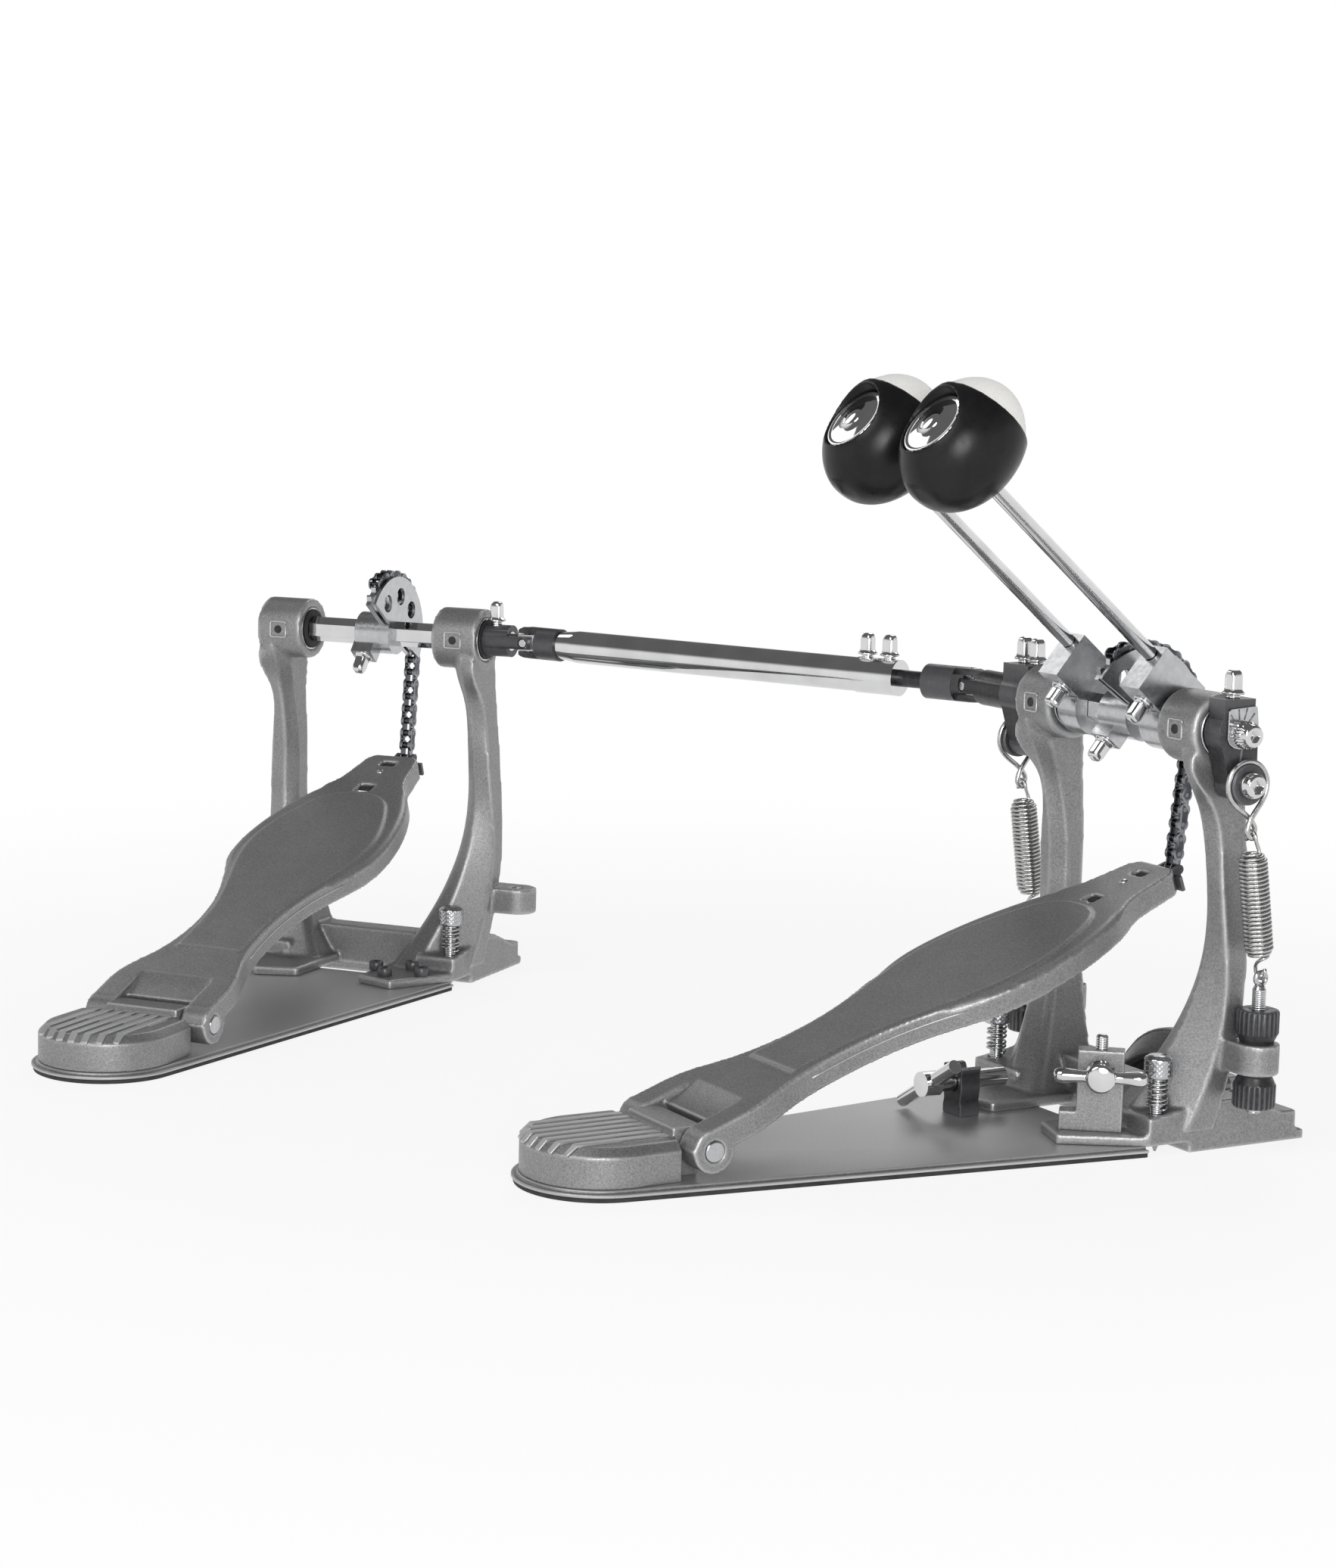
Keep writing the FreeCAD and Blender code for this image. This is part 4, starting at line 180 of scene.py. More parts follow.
class Shader:
    """A principled material and short ways to add the texture nodes that drive it."""

    def __init__(self, name, color, metallic=0.0, roughness=0.5):
        self.material = bpy.data.materials.new(name)
        self.material.use_nodes = True
        self.tree = self.material.node_tree
        self.face = self.tree.nodes["Principled BSDF"]
        set_inputs(self.face, {"Base Color": (*color, 1), "Metallic": metallic, "Roughness": roughness})
        self.place = self.add("ShaderNodeTexCoord").outputs["Object"]

    def add(self, kind, **settings):
        node = self.tree.nodes.new(kind)
        for name, value in settings.items():
            setattr(node, name, value)
        return node

    def link(self, source, target):
        self.tree.links.new(source, target)

    def noise(self, scale, detail=4.0, roughness=0.55, distortion=0.0):
        node = self.add("ShaderNodeTexNoise")
        settings = {"Scale": scale, "Detail": detail, "Roughness": roughness, "Distortion": distortion}
        set_inputs(node, settings)
        self.link(self.place, node.inputs["Vector"])
        return node.outputs["Fac"]

    def spread(self, value, low, high, from_low=0.3, from_high=0.7):
        """A value stretched to reach from low to high."""
        node = self.add("ShaderNodeMapRange", clamp=True)
        set_inputs(node, {"From Min": from_low, "From Max": from_high, "To Min": low, "To Max": high})
        self.link(value, node.inputs["Value"])
        return node.outputs["Result"]

    def tones(self, value, *stops):
        """Colours by value, from stops of (value, colour)."""
        node = self.add("ShaderNodeValToRGB")
        ramp = node.color_ramp.elements
        while len(ramp) < len(stops):
            ramp.new(0.5)
        for element, (position, color) in zip(ramp, stops):
            element.position = position
            element.color = (*color, 1)
        self.link(value, node.inputs["Fac"])
        return node.outputs["Color"]

    def mix(self, share, first, second):
        """Two colours mixed by the second one's share; each is a socket or a plain value."""
        node = self.add("ShaderNodeMix", data_type="RGBA")
        sockets = (node.inputs["Factor"], node.inputs[6], node.inputs[7])
        for socket, value in zip(sockets, (share, first, second)):
            if isinstance(value, bpy.types.NodeSocket):
                self.link(value, socket)
            elif isinstance(value, tuple):
                socket.default_value = (*value, 1)
            else:
                socket.default_value = value
        return node.outputs[2]

    def edges(self, low=0.505, high=0.56):
        """1 along convex edges, 0 elsewhere: a mask for edge wear and for painted highlight along the
        edges.
        """
        return self.spread(self.add("ShaderNodeNewGeometry").outputs["Pointiness"], 0, 1, low, high)

    def color(self, value):
        self.link(value, self.face.inputs["Base Color"])

    def rough(self, value):
        self.link(value, self.face.inputs["Roughness"])

    def bump(self, height, strength, distance):
        node = self.add("ShaderNodeBump")
        set_inputs(node, {"Strength": strength, "Distance": distance})
        self.link(height, node.inputs["Height"])
        self.link(node.outputs["Normal"], self.face.inputs["Normal"])


def cast_aluminium():
    """Silver casting: mottled grain, soft sheen, and edges painted brighter, partly as wear and partly as
    painted highlight.
    """
    shader = Shader("cast_aluminium", (0.3, 0.3, 0.31), metallic=0.7)
    grain = shader.tones(
        shader.noise(1300, detail=4, roughness=0.6),
        (0.3, (0.15, 0.15, 0.151)),
        (0.7, (0.37, 0.37, 0.372)),
    )
    patches = shader.tones(
        shader.noise(60, detail=6),
        (0.35, (0.21, 0.21, 0.211)),
        (0.7, (0.29, 0.29, 0.292)),
    )
    metal = shader.mix(0.3, grain, patches)
    # Lighter edges: partly wear, partly painted highlight along the bevels.
    shader.color(shader.mix(shader.edges(), metal, (0.5, 0.5, 0.505)))
    shader.rough(shader.spread(shader.noise(900, detail=3), 0.36, 0.48))
    shader.bump(shader.noise(1700, detail=3), 0.28, 0.0003)
    return shader.material


def chrome():
    shader = Shader("chrome", (0.8, 0.8, 0.81), metallic=1.0, roughness=0.09)
    haze = shader.noise(60, detail=2)
    shader.color(shader.tones(haze, (0.35, (0.62, 0.62, 0.625)), (0.65, (0.69, 0.69, 0.695))))
    shader.rough(shader.spread(shader.noise(140, detail=3), 0.03, 0.06))
    return shader.material


def black_metal():
    shader = Shader("black_metal", (0.02, 0.02, 0.022), metallic=0.2)
    coat = shader.noise(500, detail=5)
    base = shader.tones(coat, (0.35, (0.012, 0.012, 0.013)), (0.7, (0.03, 0.03, 0.033)))
    # Lighter edges: partly wear, partly painted highlight along them.
    shader.color(shader.mix(shader.edges(0.52, 0.6), base, (0.16, 0.16, 0.17)))
    shader.rough(shader.spread(shader.noise(350, detail=3), 0.26, 0.42))
    shader.bump(shader.noise(1800, detail=2), 0.08, 0.0002)
    return shader.material


def machined_steel():
    shader = Shader("machined_steel", (0.45, 0.46, 0.49), metallic=1.0)
    cut = shader.noise(300, detail=3)
    shader.color(shader.tones(cut, (0.3, (0.46, 0.463, 0.475)), (0.7, (0.54, 0.543, 0.555))))
    shader.rough(shader.spread(shader.noise(500, detail=3), 0.2, 0.28))
    return shader.material


def chain_steel():
    shader = Shader("chain_steel", (0.16, 0.165, 0.18), metallic=1.0)
    oil = shader.noise(350, detail=4)
    base = shader.tones(oil, (0.3, (0.05, 0.052, 0.06)), (0.7, (0.1, 0.103, 0.115)))
    # Lighter edges on plates and pins: partly wear, partly painted highlight.
    shader.color(shader.mix(shader.edges(0.51, 0.57), base, (0.26, 0.265, 0.28)))
    shader.rough(shader.spread(shader.noise(700, detail=3), 0.22, 0.34))
    return shader.material


def spring_wire():
    shader = Shader("spring_wire", (0.62, 0.62, 0.61), metallic=1.0)
    drawn = shader.noise(300, detail=4)
    shader.color(shader.tones(drawn, (0.3, (0.42, 0.42, 0.415)), (0.7, (0.58, 0.58, 0.575))))
    shader.rough(shader.spread(shader.noise(900, detail=2), 0.18, 0.34))
    return shader.material


def rubber():
    shader = Shader("rubber", (0.02, 0.02, 0.02), roughness=0.8)
    dust = shader.noise(300, detail=4)
    shader.color(shader.tones(dust, (0.3, (0.012, 0.012, 0.012)), (0.7, (0.03, 0.03, 0.03))))
    shader.rough(shader.spread(shader.noise(600), 0.68, 0.86))
    shader.bump(shader.noise(1500, detail=4), 0.35, 0.0004)
    return shader.material


def gloss_shell():
    shader = Shader("gloss_shell", (0.012, 0.012, 0.013))
    haze = shader.noise(90, detail=3)
    shader.color(shader.tones(haze, (0.3, (0.006, 0.006, 0.0065)), (0.7, (0.012, 0.012, 0.0125))))
    shader.rough(shader.spread(shader.noise(240, detail=4), 0.24, 0.34))
    set_inputs(shader.face, {"Specular IOR Level": 0.22})
    return shader.material


def felt():
    shader = Shader("felt", (0.84, 0.83, 0.8), roughness=0.95)
    fibres = shader.noise(900, detail=8, roughness=0.7, distortion=2.0)
    shader.color(
        shader.tones(
            fibres,
            (0.25, (0.7, 0.69, 0.66)),
            (0.5, (0.84, 0.83, 0.8)),
            (0.75, (0.93, 0.92, 0.9)),
        )
    )
    shader.bump(fibres, 0.6, 0.0006)
    set_inputs(shader.face, {"Sheen Weight": 0.4, "Sheen Roughness": 0.6})
    return shader.material


LOOKS = {
    "cast_aluminium": cast_aluminium(),
    "chrome": chrome(),
    "black_metal": black_metal(),
    "steel": machined_steel(),
    "chain_steel": chain_steel(),
    "spring_wire": spring_wire(),
    "rubber_mat": rubber(),
    "beater_shell": gloss_shell(),
    "felt": felt(),
}
SLOT_OF = {row["node"]: row["material_slot"] for row in frame["record"]["subparts"]}
BODY_OF = {node: body for body, nodes in frame["record"]["behaviour"]["bodies"].items() for node in nodes}


# Pieces

def finish_mesh(form, name, slot, look=None):
    """Turns a bmesh into an object with smooth faces, sharp edges kept, and its slot's material."""
    for face in form.faces:
        face.smooth = True
    for edge in form.edges:
        edge.smooth = edge.calc_face_angle(0.0) < SHARP
    mesh = bpy.data.meshes.new(name)
    form.to_mesh(mesh)
    form.free()
    mesh.materials.append(LOOKS[look or slot])
    item = bpy.data.objects.new(name, mesh)
    bpy.context.scene.collection.objects.link(item)
    return item


def add_piece(form, name, slot, body, *nodes):
    """A finished piece on its body, in place of the CAD nodes given."""
    item = finish_mesh(form, name, slot)
    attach(item, body)
    if nodes:
        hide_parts(*nodes)
        DONE.update(nodes)
    return item


def soften(item, width=EDGE, segments=2):
    """Rounds the sharp edges and keeps the flat faces between them looking flat."""
    bevel = item.modifiers.new("edges", "BEVEL")
    bevel.width = width * MM
    bevel.segments = segments
    bevel.limit_method = "ANGLE"
    bevel.angle_limit = SHARP
    flats = item.modifiers.new("flats", "WEIGHTED_NORMAL")
    flats.keep_sharp = True


def mould(item, grain, rounds):
    """Gives a piece the soft corners that a mould leaves."""
    skin = item.modifiers.new("skin", "REMESH")
    skin.mode = "VOXEL"
    skin.voxel_size = grain * MM
    skin.use_smooth_shade = True
    ease = item.modifiers.new("ease", "SMOOTH")
    ease.factor = 0.5
    ease.iterations = rounds


def closed_form(*nodes):
    """The merged mesh of CAD nodes."""
    form = bmesh.new()
    for node in nodes:
        form.from_mesh(frame["nodes"][node].data)
    bmesh.ops.remove_doubles(form, verts=form.verts, dist=MERGED)
    return form


def cad_form(*nodes):
    """The merged mesh of CAD nodes, with flat areas joined into single faces."""
    form = closed_form(*nodes)
    bmesh.ops.dissolve_limit(form, angle_limit=FLAT, verts=form.verts, edges=form.edges)
    return form


def dress(node, width=EDGE, slot=None, segments=2):
    """A copy of a CAD node with rounded edges, in its place on the same body."""
    item = finish_mesh(cad_form(node), node + "_look", slot or SLOT_OF[node])
    soften(item, width, segments)
    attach(item, BODY_OF[node])
    DONE.add(node)
    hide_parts(node)


def cast(node, grain, rounds, form=None):
    """A copy of a cast CAD node, or the form given for it, with soft corners and on the same body."""
    item = finish_mesh(form or closed_form(node), node + "_look", SLOT_OF[node])
    mould(item, grain, rounds)
    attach(item, BODY_OF[node])
    DONE.add(node)
    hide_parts(node)


# Forms

def join_rings(form, rings):
    """Closes rings of points into one skin, with a face at each end."""
    sides = len(rings[0])
    for first, second in zip(rings, rings[1:]):
        for step in range(sides):
            after = (step + 1) % sides
            form.faces.new((first[step], first[after], second[after], second[step]))
    form.faces.new(list(reversed(rings[0])))
    form.faces.new(rings[-1])


def polar(radius, turn, height):
    return Vector((radius * math.cos(turn), radius * math.sin(turn), height))


def ring_angle(step, sides):
    """Angle of a step around a ring of so many sides."""
    return 2 * math.pi * step / sides


def sweep(form, place, points, radius, sides=10):
    """Adds a round wire along points, closed at both ends."""
    rings = []
    normal = (points[1] - points[0]).orthogonal().normalized()
    turns = [ring_angle(step, sides) for step in range(sides)]
    for index, point in enumerate(points):
        ahead = points[min(index + 1, len(points) - 1)]
        behind = points[max(index - 1, 0)]
        way = (ahead - behind).normalized()
        normal = (normal - way * normal.dot(way)).normalized()
        across = way.cross(normal)
        ring = [point + (normal * math.cos(turn) + across * math.sin(turn)) * radius for turn in turns]
        rings.append([form.verts.new(place @ corner) for corner in ring])
    join_rings(form, rings)


def lathe(form, place, profile, sides=48, wave=None):
    """Turns a profile of (radius, height) about Z; wave(step, radius, height) scales the radius."""
    rings = []
    for radius, height in profile:
        ring = []
        for step in range(sides):
            reach = radius * (wave(step, radius, height) if wave else 1.0)
            ring.append(form.verts.new(place @ polar(reach, ring_angle(step, sides), height)))
        rings.append(ring)
    join_rings(form, rings)


def plate(form, place, outline, low, high):
    """A flat plate: outline of (x, y) points between two heights."""
    rings = []
    for height in (low, high):
        rings.append([form.verts.new(place @ Vector((x, y, height))) for x, y in outline])
    join_rings(form, rings)


def aim(tip, way):
    """Frame with its origin at tip and Z along way."""
    return Matrix.Translation(tip) @ Vector(way).to_track_quat("Z", "Y").to_matrix().to_4x4()


def thread(radius, low, high, pitch=0.9, depth=0.4):
    """Profile of a threaded stretch."""
    count = max(1, round((high - low) / pitch))
    step = (high - low) / count
    core = radius - depth
    profile = [(core, low)]
    for index in range(count):
        start = low + step * index
        profile += [(radius, start + step * 0.4), (radius, start + step * 0.6), (core, start + step)]
    return profile


def square_share(step, sides, power=5):
    """Radius share that turns a ring of sides steps into a square with round corners."""
    turn = ring_angle(step, sides)
    return (abs(math.cos(turn)) ** power + abs(math.sin(turn)) ** power) ** (-1 / power)


def hex_share(step, sides):
    """Radius share that turns a ring of sides steps into a hexagon."""
    turn = ring_angle(step, sides) % (math.pi / 3) - math.pi / 6
    return math.cos(math.pi / 6) / math.cos(turn)


def ribs(share, past):
    """Wave that grooves two steps in four, down to a share of the radius, where that is past a limit."""

    def wave(step, radius, height):
        return share if radius > past and step % 4 < 2 else 1.0

    return wave


def rounded_box(half_wide, half_high, corner, steps=5):
    """Points around a rectangle with round corners."""
    points = []
    for quarter, (sign_x, sign_y) in enumerate(((1, 1), (-1, 1), (-1, -1), (1, -1))):
        for step in range(steps + 1):
            turn = math.radians(90 * (quarter + step / steps))
            x = sign_x * (half_wide - corner) + corner * math.cos(turn)
            y = sign_y * (half_high - corner) + corner * math.sin(turn)
            points.append((x, y))
    return points


# Bolts and screws

def key_bolt(form, place, tip, way, length):
    """Square-headed tension bolt: threaded shank, conical flange and a square head with a round top."""
    at = place @ aim(tip, way)
    sides = 32
    top = length + 1.8
    flange = [(4.6, length), (4.6, length + 0.7), (4.2, length + 0.9), (3.5, top), (2.6, top + 0.1)]
    lathe(form, at, thread(2.9, 0, length) + flange, sides)
    head = [(3.1, top - 0.2), (2.9, top + 0.5), (2.85, top + 5.2), (2.55, top + 6.7)]
    head += [(2.05, top + 7.5), (1.2, top + 7.9), (0.3, top + 8.0)]

    def square(step, radius, height):
        return square_share(step, sides)

    lathe(form, at, head, sides, square)


def socket_screw(form, place, tip, way, profile, hex_radius, depth, wave=None):
    """Screw turned from a profile, with a hexagon socket sunk into its end."""
    sides = 96
    top = profile[-1][1]
    socket = [(hex_radius, top), (hex_radius, top - depth), (0.2, top - depth - 0.2)]

    def shape(step, radius, height):
        if radius <= hex_radius:
            return hex_share(step, sides)
        return wave(step, radius, height) if wave else 1.0

    lathe(form, place @ aim(tip, way), profile + socket, sides, shape)


def beater_point(side, along, across):
    return AXLE + Vector((side * BEATER_X, 0, 0)) + SHAFT_WAY * along + STRIKE_WAY * across


# Each bolt is given by its tip, its direction and the length of its shank

def sprocket_bolt():
    return AXLE + Vector((-3, 0, 0)) - STRIKE_WAY * 6.351, -STRIKE_WAY, 8.75


def beater_bolt(side):
    return beater_point(side, 16.9, 10.85), -STRIKE_WAY, 13.85


def top_bolt(x, length):
    return Vector((x, 0, ROCKER_TOP)), UP, length


def link_pivot(name):
    """Tip and direction of what sits on the axis of a wire link."""
    reach = SPRING_X[name]
    return Vector((reach, ROCKER_PIVOT.y, ROCKER_PIVOT.z)), (math.copysign(1, reach), 0, 0)


def pivot_screw(form, name):
    """Cap screw that holds the spring's wire link on the rocker's arm."""
    head = [(3.0, -8), (3.0, 1.4), (5.6, 1.4), (5.6, 2.5), (5.0, 5.2), (4.5, 6.1), (3.9, 6.4)]
    socket_screw(form, MAIN, *link_pivot(name), head, hex_radius=2.9, depth=3.0)


def thumb_screw(form):
    """Ribbed screw on the outer face of the right rocker."""
    collar = [(5.6, 0), (5.6, 6.6), (4.7, 7.2), (4.6, 9.4), (4.2, 10), (2.8, 10)]
    tip = AXLE + Vector((ROCKER_FACE, 0, 0))
    socket_screw(form, MAIN, tip, (1, 0, 0), collar, hex_radius=2.6, depth=3.5, wave=ribs(0.92, 5))


def build_bolts():
    """Key bolts on both axles, on the left rocker and on the drive tube."""
    form = bmesh.new()
    for bolt in (sprocket_bolt(), beater_bolt(1), top_bolt(x=66.7, length=10.8)):
        key_bolt(form, MAIN, *bolt)
    pivot_screw(form, "right")
    thumb_screw(form)
    add_piece(form, "main_key_bolts", "chrome", "main_shaft", "main_axle_bolts")
    form = bmesh.new()
    for bolt in (beater_bolt(-1), top_bolt(x=-66.6, length=10.8), top_bolt(x=-75.8, length=10.8)):
        key_bolt(form, MAIN, *bolt)
    pivot_screw(form, "left")
    add_piece(form, "left_key_bolts", "chrome", "left_drive", "left_drive_bolts")
    form = bmesh.new()
    for bolt in (sprocket_bolt(), top_bolt(x=66.9, length=4.8)):
        key_bolt(form, SLAVE, *bolt)
    add_piece(form, "slave_key_bolts", "chrome", "slave_shaft", "slave_axle_bolts")
    form = bmesh.new()
    for along in TUBE_BOLTS:
        key_bolt(form, SHAFT, Vector((along, 0, TUBE_SEAT)), UP, length=5.9)
    add_piece(form, "tube_key_bolts", "chrome", "outer_tube", "tube_bolts")


def build_rocker_details():
    """Angle plate with its marks on the right rocker, and the washers under both wire links."""
    sideways = Matrix(((0, 0, 1, 0), (1, 0, 0, 0), (0, 1, 0, 0), (0, 0, 0, 1)))
    face = MAIN @ Matrix.Translation(AXLE) @ sideways
    outline = [(-6.2, -2), (-5.2, -4), (-3, -5.7), (0, -6.4), (3, -5.9), (6, -4.4), (9.3, -1.2), (9.3, 4)]
    outline += [(8.4, 10.4), (7.4, 11.2), (-5.2, 10.3), (-6.2, 9.2)]
    front = ROCKER_FACE + ANGLE_PLATE
    form = bmesh.new()
    plate(form, face, outline, ROCKER_FACE, front)
    soften(add_piece(form, "angle_plate", "steel", "main_shaft"), width=0.3)
    form = bmesh.new()
    for degrees, end in ((22, 9.2), (50, 10.8), (74, 10.9), (98, 10.2), (124, 9.6), (150, 6.9)):
        turn = math.radians(degrees)
        way = Vector((math.cos(turn), math.sin(turn)))
        across = Vector((-math.sin(turn), math.cos(turn))) * MARK_HALF
        start, stop = way * MARK_START, way * end
        corners = [start - across, stop - across, stop + across, start + across]
        plate(form, face, [tuple(corner) for corner in corners], front - 0.1, front + 0.1)
    add_piece(form, "angle_marks", "black_metal", "main_shaft")
    washer = [(7.4, -1.4), (8.3, -1.1), (8.3, 1.0), (7.6, 1.4), (3.0, 1.4)]
    for name, body in (("right", "main_shaft"), ("left", "left_drive")):
        form = bmesh.new()
        lathe(form, MAIN @ aim(*link_pivot(name)), washer, sides=64)
        add_piece(form, name + "_link_washer", "black_metal", body)


# Frame details

def build_hub_details(pedal, place):
    """Bearing seals and, on the rear of each hub, a raised outline around an oil hole whose shade is
    painted as a dark disc.
    """
    seal = [(9.9, -0.3), (9.9, 0.06), (9.2, 0.12), (7.0, 0.02), (6.2, 0.12), (6.0, -0.3)]
    # Each oil hole is a dark disc that sits on the hub: painted shade in place of the hole's depth.
    hole = [(2.0, -0.4), (2.0, 0.2), (1.8, 0.3), (1.6, 0.2), (0.1, 0.15)]
    shell = HUB_RADIUS + 0.1
    seals, rims, hole_shades = bmesh.new(), bmesh.new(), bmesh.new()
    for side in (-1, 1):
        for face, way in ((HUB_OUTER, side), (HUB_INNER, -side)):
            at = place @ aim(AXLE + Vector((side * face, 0, 0)), (way, 0, 0))
            lathe(seals, at, seal, sides=64)
        middle = side * HUB_MIDDLE
        outline = []
        for across, rise in rounded_box(half_wide=4.4, half_high=3.9, corner=1.0):
            turn = rise / HUB_RADIUS
            corner = Vector((middle + across, -shell * math.cos(turn), shell * math.sin(turn)))
            outline.append(AXLE + corner)
        sweep(rims, place, outline + outline[:1], radius=0.45, sides=8)
        at = place @ aim(AXLE + Vector((middle, -HUB_RADIUS, 0)), (0, -1, 0))
        lathe(hole_shades, at, hole, sides=32)
    add_piece(seals, pedal + "_bearing_seals", "rubber_mat", pedal + "_base")
    add_piece(rims, pedal + "_hub_outlines", "cast_aluminium", pedal + "_base")
    add_piece(hole_shades, pedal + "_oil_hole_shades", "rubber_mat", pedal + "_base")


def diamond(step, radius, height):
    """Radius share of a diamond knurl."""
    if radius < KNURL_RADIUS:
        return 1.0
    turn = ring_angle(step, KNURL_SIDES) * KNURL_LEADS
    climb = height * KNURL_CLIMB
    ridge = min(abs(math.sin(turn + climb)), abs(math.sin(turn - climb)))
    return 0.93 + 0.07 * min(1.0, 1.6 * ridge)


def build_spurs(pedal):
    """Spurs with a thread, a point and a diamond-knurled head."""
    for name in ("left", "right"):
        node = f"{pedal}_{name}_spur"
        low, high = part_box(node)
        base = Vector(((low.x + high.x) / 2, (low.y + high.y) / 2, 0))
        at = Matrix.Translation(base) @ UNIT
        tip, top = low.z / MM, high.z / MM
        head = top - SPUR_HEAD
        neck = tip + SPUR_POINT
        form = bmesh.new()
        shank = [(0.5, tip), (2.4, neck)] + thread(2.9, neck, head) + [(4, head - 0.1)]
        lathe(form, at, shank, sides=28)
        rows = [(5.3, head - 0.05), (5.7, head + 0.3)]
        rows += [(KNURL_RADIUS, head + 0.7 + 0.5 * row) for row in range(15)]
        rows += [(5.6, top - 0.9), (4.6, top - 0.4), (4.3, top), (0.4, top)]
        lathe(form, at, rows, KNURL_SIDES, diamond)
        add_piece(form, node + "_screw", "steel", BODY_OF[node], node)


def build_adjusters():
    """Threaded rods with an eye for the spring's hook, and ribbed nuts above and below each lug."""
    rods, nuts = bmesh.new(), bmesh.new()
    nut = [(6.4, 0), (7.0, 0.2), (7.2, 1.2), (8.3, 3.5), (8.5, 4.0), (8.8, 4.4), (8.8, 12.9)]
    nut += [(8.3, 13.7), (7.4, 14.0), (4.4, 14.0), (3.4, 13.4)]
    rod = thread(2.9, ROD_LOW, ROD_HIGH) + [(2.4, ROD_HIGH + 0.6), (1.5, ROD_HIGH + 2)]
    turns = [ring_angle(step, 28) for step in range(29)]
    eye = [Vector((0, EYE_RADIUS * math.cos(turn), EYE_RADIUS * math.sin(turn))) for turn in turns]
    for name in ("left", "right"):
        base = Vector((SPRING_X[name], LUG_Y, 0))
        lathe(rods, MAIN @ Matrix.Translation(base), rod, sides=28)
        center = base + Vector((0, EYE_SHIFT, ROD_EYE - HOOK_RADIUS))
        sweep(rods, MAIN, [center + point for point in eye], EYE_WIRE, sides=12)
        for height, way in ((LUG_FACES[1], 1), (LUG_FACES[0], -1)):
            at = MAIN @ aim(base + Vector((0, 0, height)), (0, 0, way))
            lathe(nuts, at, nut, sides=96, wave=ribs(0.945, 8.7))
    add_piece(rods, "spring_rods", "steel", "main_base")
    add_piece(nuts, "spring_nuts", "black_metal", "main_base", "spring_adjusters")


def build_flange_screws():
    """Four black cap screws on the second pedal's flange."""
    head = [(3.3, -0.3), (3.6, 0.2), (3.6, 3.6), (3.2, 4.2), (2.0, 4.2)]
    form = bmesh.new()
    for x, y in FLANGE_SCREWS:
        socket_screw(form, SLAVE, Vector((x, y, FLANGE_TOP)), UP, head, hex_radius=1.8, depth=2.0)
    add_piece(form, "flange_screws", "black_metal", "slave_base")


def build_key_clip():
    """Saddle with waved sides and two horns that spring around the drum key."""
    half = [(6.5, 4.5), (6.6, 8), (5.9, 11), (6.3, 14), (6.8, 17), (6.3, 20), (6.4, 23), (7.0, 25.2)]
    half += [(6.4, 26), (4.4, 25.4), (3.3, 23.4), (3.4, 21.6), (4.05, 19.4), (3.9, 17.6), (2.9, 16.0)]
    half += [(1.5, 15.1)]
    outline = half + [(-x, z) for x, z in reversed(half)]
    form = bmesh.new()
    rings = []
    for y in KEY_CLIP_ENDS:
        rings.append([form.verts.new(MAIN @ Vector((KEY_X + x, y, z))) for x, z in outline])
    join_rings(form, rings)
    bmesh.ops.recalc_face_normals(form, faces=form.faces)
    soften(add_piece(form, "key_saddle", "black_metal", "main_base", "key_clip"), width=0.5)


# Hoop clamp

def build_jaw_brow():
    """Sloped band along the arch of the hoop clamp's jaw, down to a ridge that stands out from it."""
    form = bmesh.new()
    rings = []
    for step in range(-JAW_STEPS, JAW_STEPS + 1):
        x = JAW_STEP * step
        crest = math.sqrt(JAW_ARCH ** 2 - x ** 2) - JAW_DROP
        foot = max(crest - 13, JAW_LOW)
        section = [(JAW_FACE, crest - 0.6), (JAW_RIDGE + 1, crest - 8.5), (JAW_RIDGE, crest - 10.5)]
        section += [(JAW_RIDGE + 1, foot), (JAW_FACE, foot)]
        rings.append([form.verts.new(MAIN @ Vector((x, y, z))) for y, z in section])
    join_rings(form, rings)
    bmesh.ops.recalc_face_normals(form, faces=form.faces)
    mould(add_piece(form, "jaw_brow", "cast_aluminium", "clamp_jaw"), grain=0.6, rounds=4)


def build_wing_bolt():
    """Wing bolt of the hoop clamp, and the threaded stub on top of its block."""
    mid = CLAMP_COLUMN / 2 - CLAMP_LONG / 2
    face = Vector((mid, CLAMP_FACE, WING_HEIGHT - FLANGE_TOP))
    outward = BLOCK @ aim(face, (0, 1, 0))
    hub = [(4.6, 3.9), (6.0, 4.5), (6.2, 5.2), (5.2, 6.4), (5.0, 10.6)]
    hub += [(6.0, 11.6), (6.0, 12.4), (4.6, 13.1), (0.5, 13.3)]
    wing = [(2.9, 2), (2.4, 7), (2.7, 11), (3.2, 15), (3.0, 17.2), (2.2, 18.6), (0.6, 19.1)]
    form = bmesh.new()
    lathe(form, outward, thread(3.0, -9, 4) + [(3.0, 4.2)], sides=28)
    lathe(form, outward, hub, sides=48)
    for way in (-1, 1):
        lathe(form, BLOCK @ aim(face + Vector((0, WING_OUT, 0)), (way, 0, 0)), wing, sides=32)
    add_piece(form, "wing_bolt", "chrome", "wing_screw", "clamp_wing_bolt")
    form = bmesh.new()
    at = BLOCK @ Matrix.Translation((mid, 0, CLAMP_TOP - FLANGE_TOP))
    lathe(form, at, thread(2.6, -1, 5.6) + [(1.8, 6.0), (0.4, 6.1)], sides=28)
    add_piece(form, "clamp_stub", "chrome", "main_base")


# Beaters

def is_rear_flat(face):
    """Whether a face is the large flat on the back of a beater's head."""
    return face.normal.dot(STRIKE_WAY) < -0.99 and face.calc_area() > 50 * MM ** 2


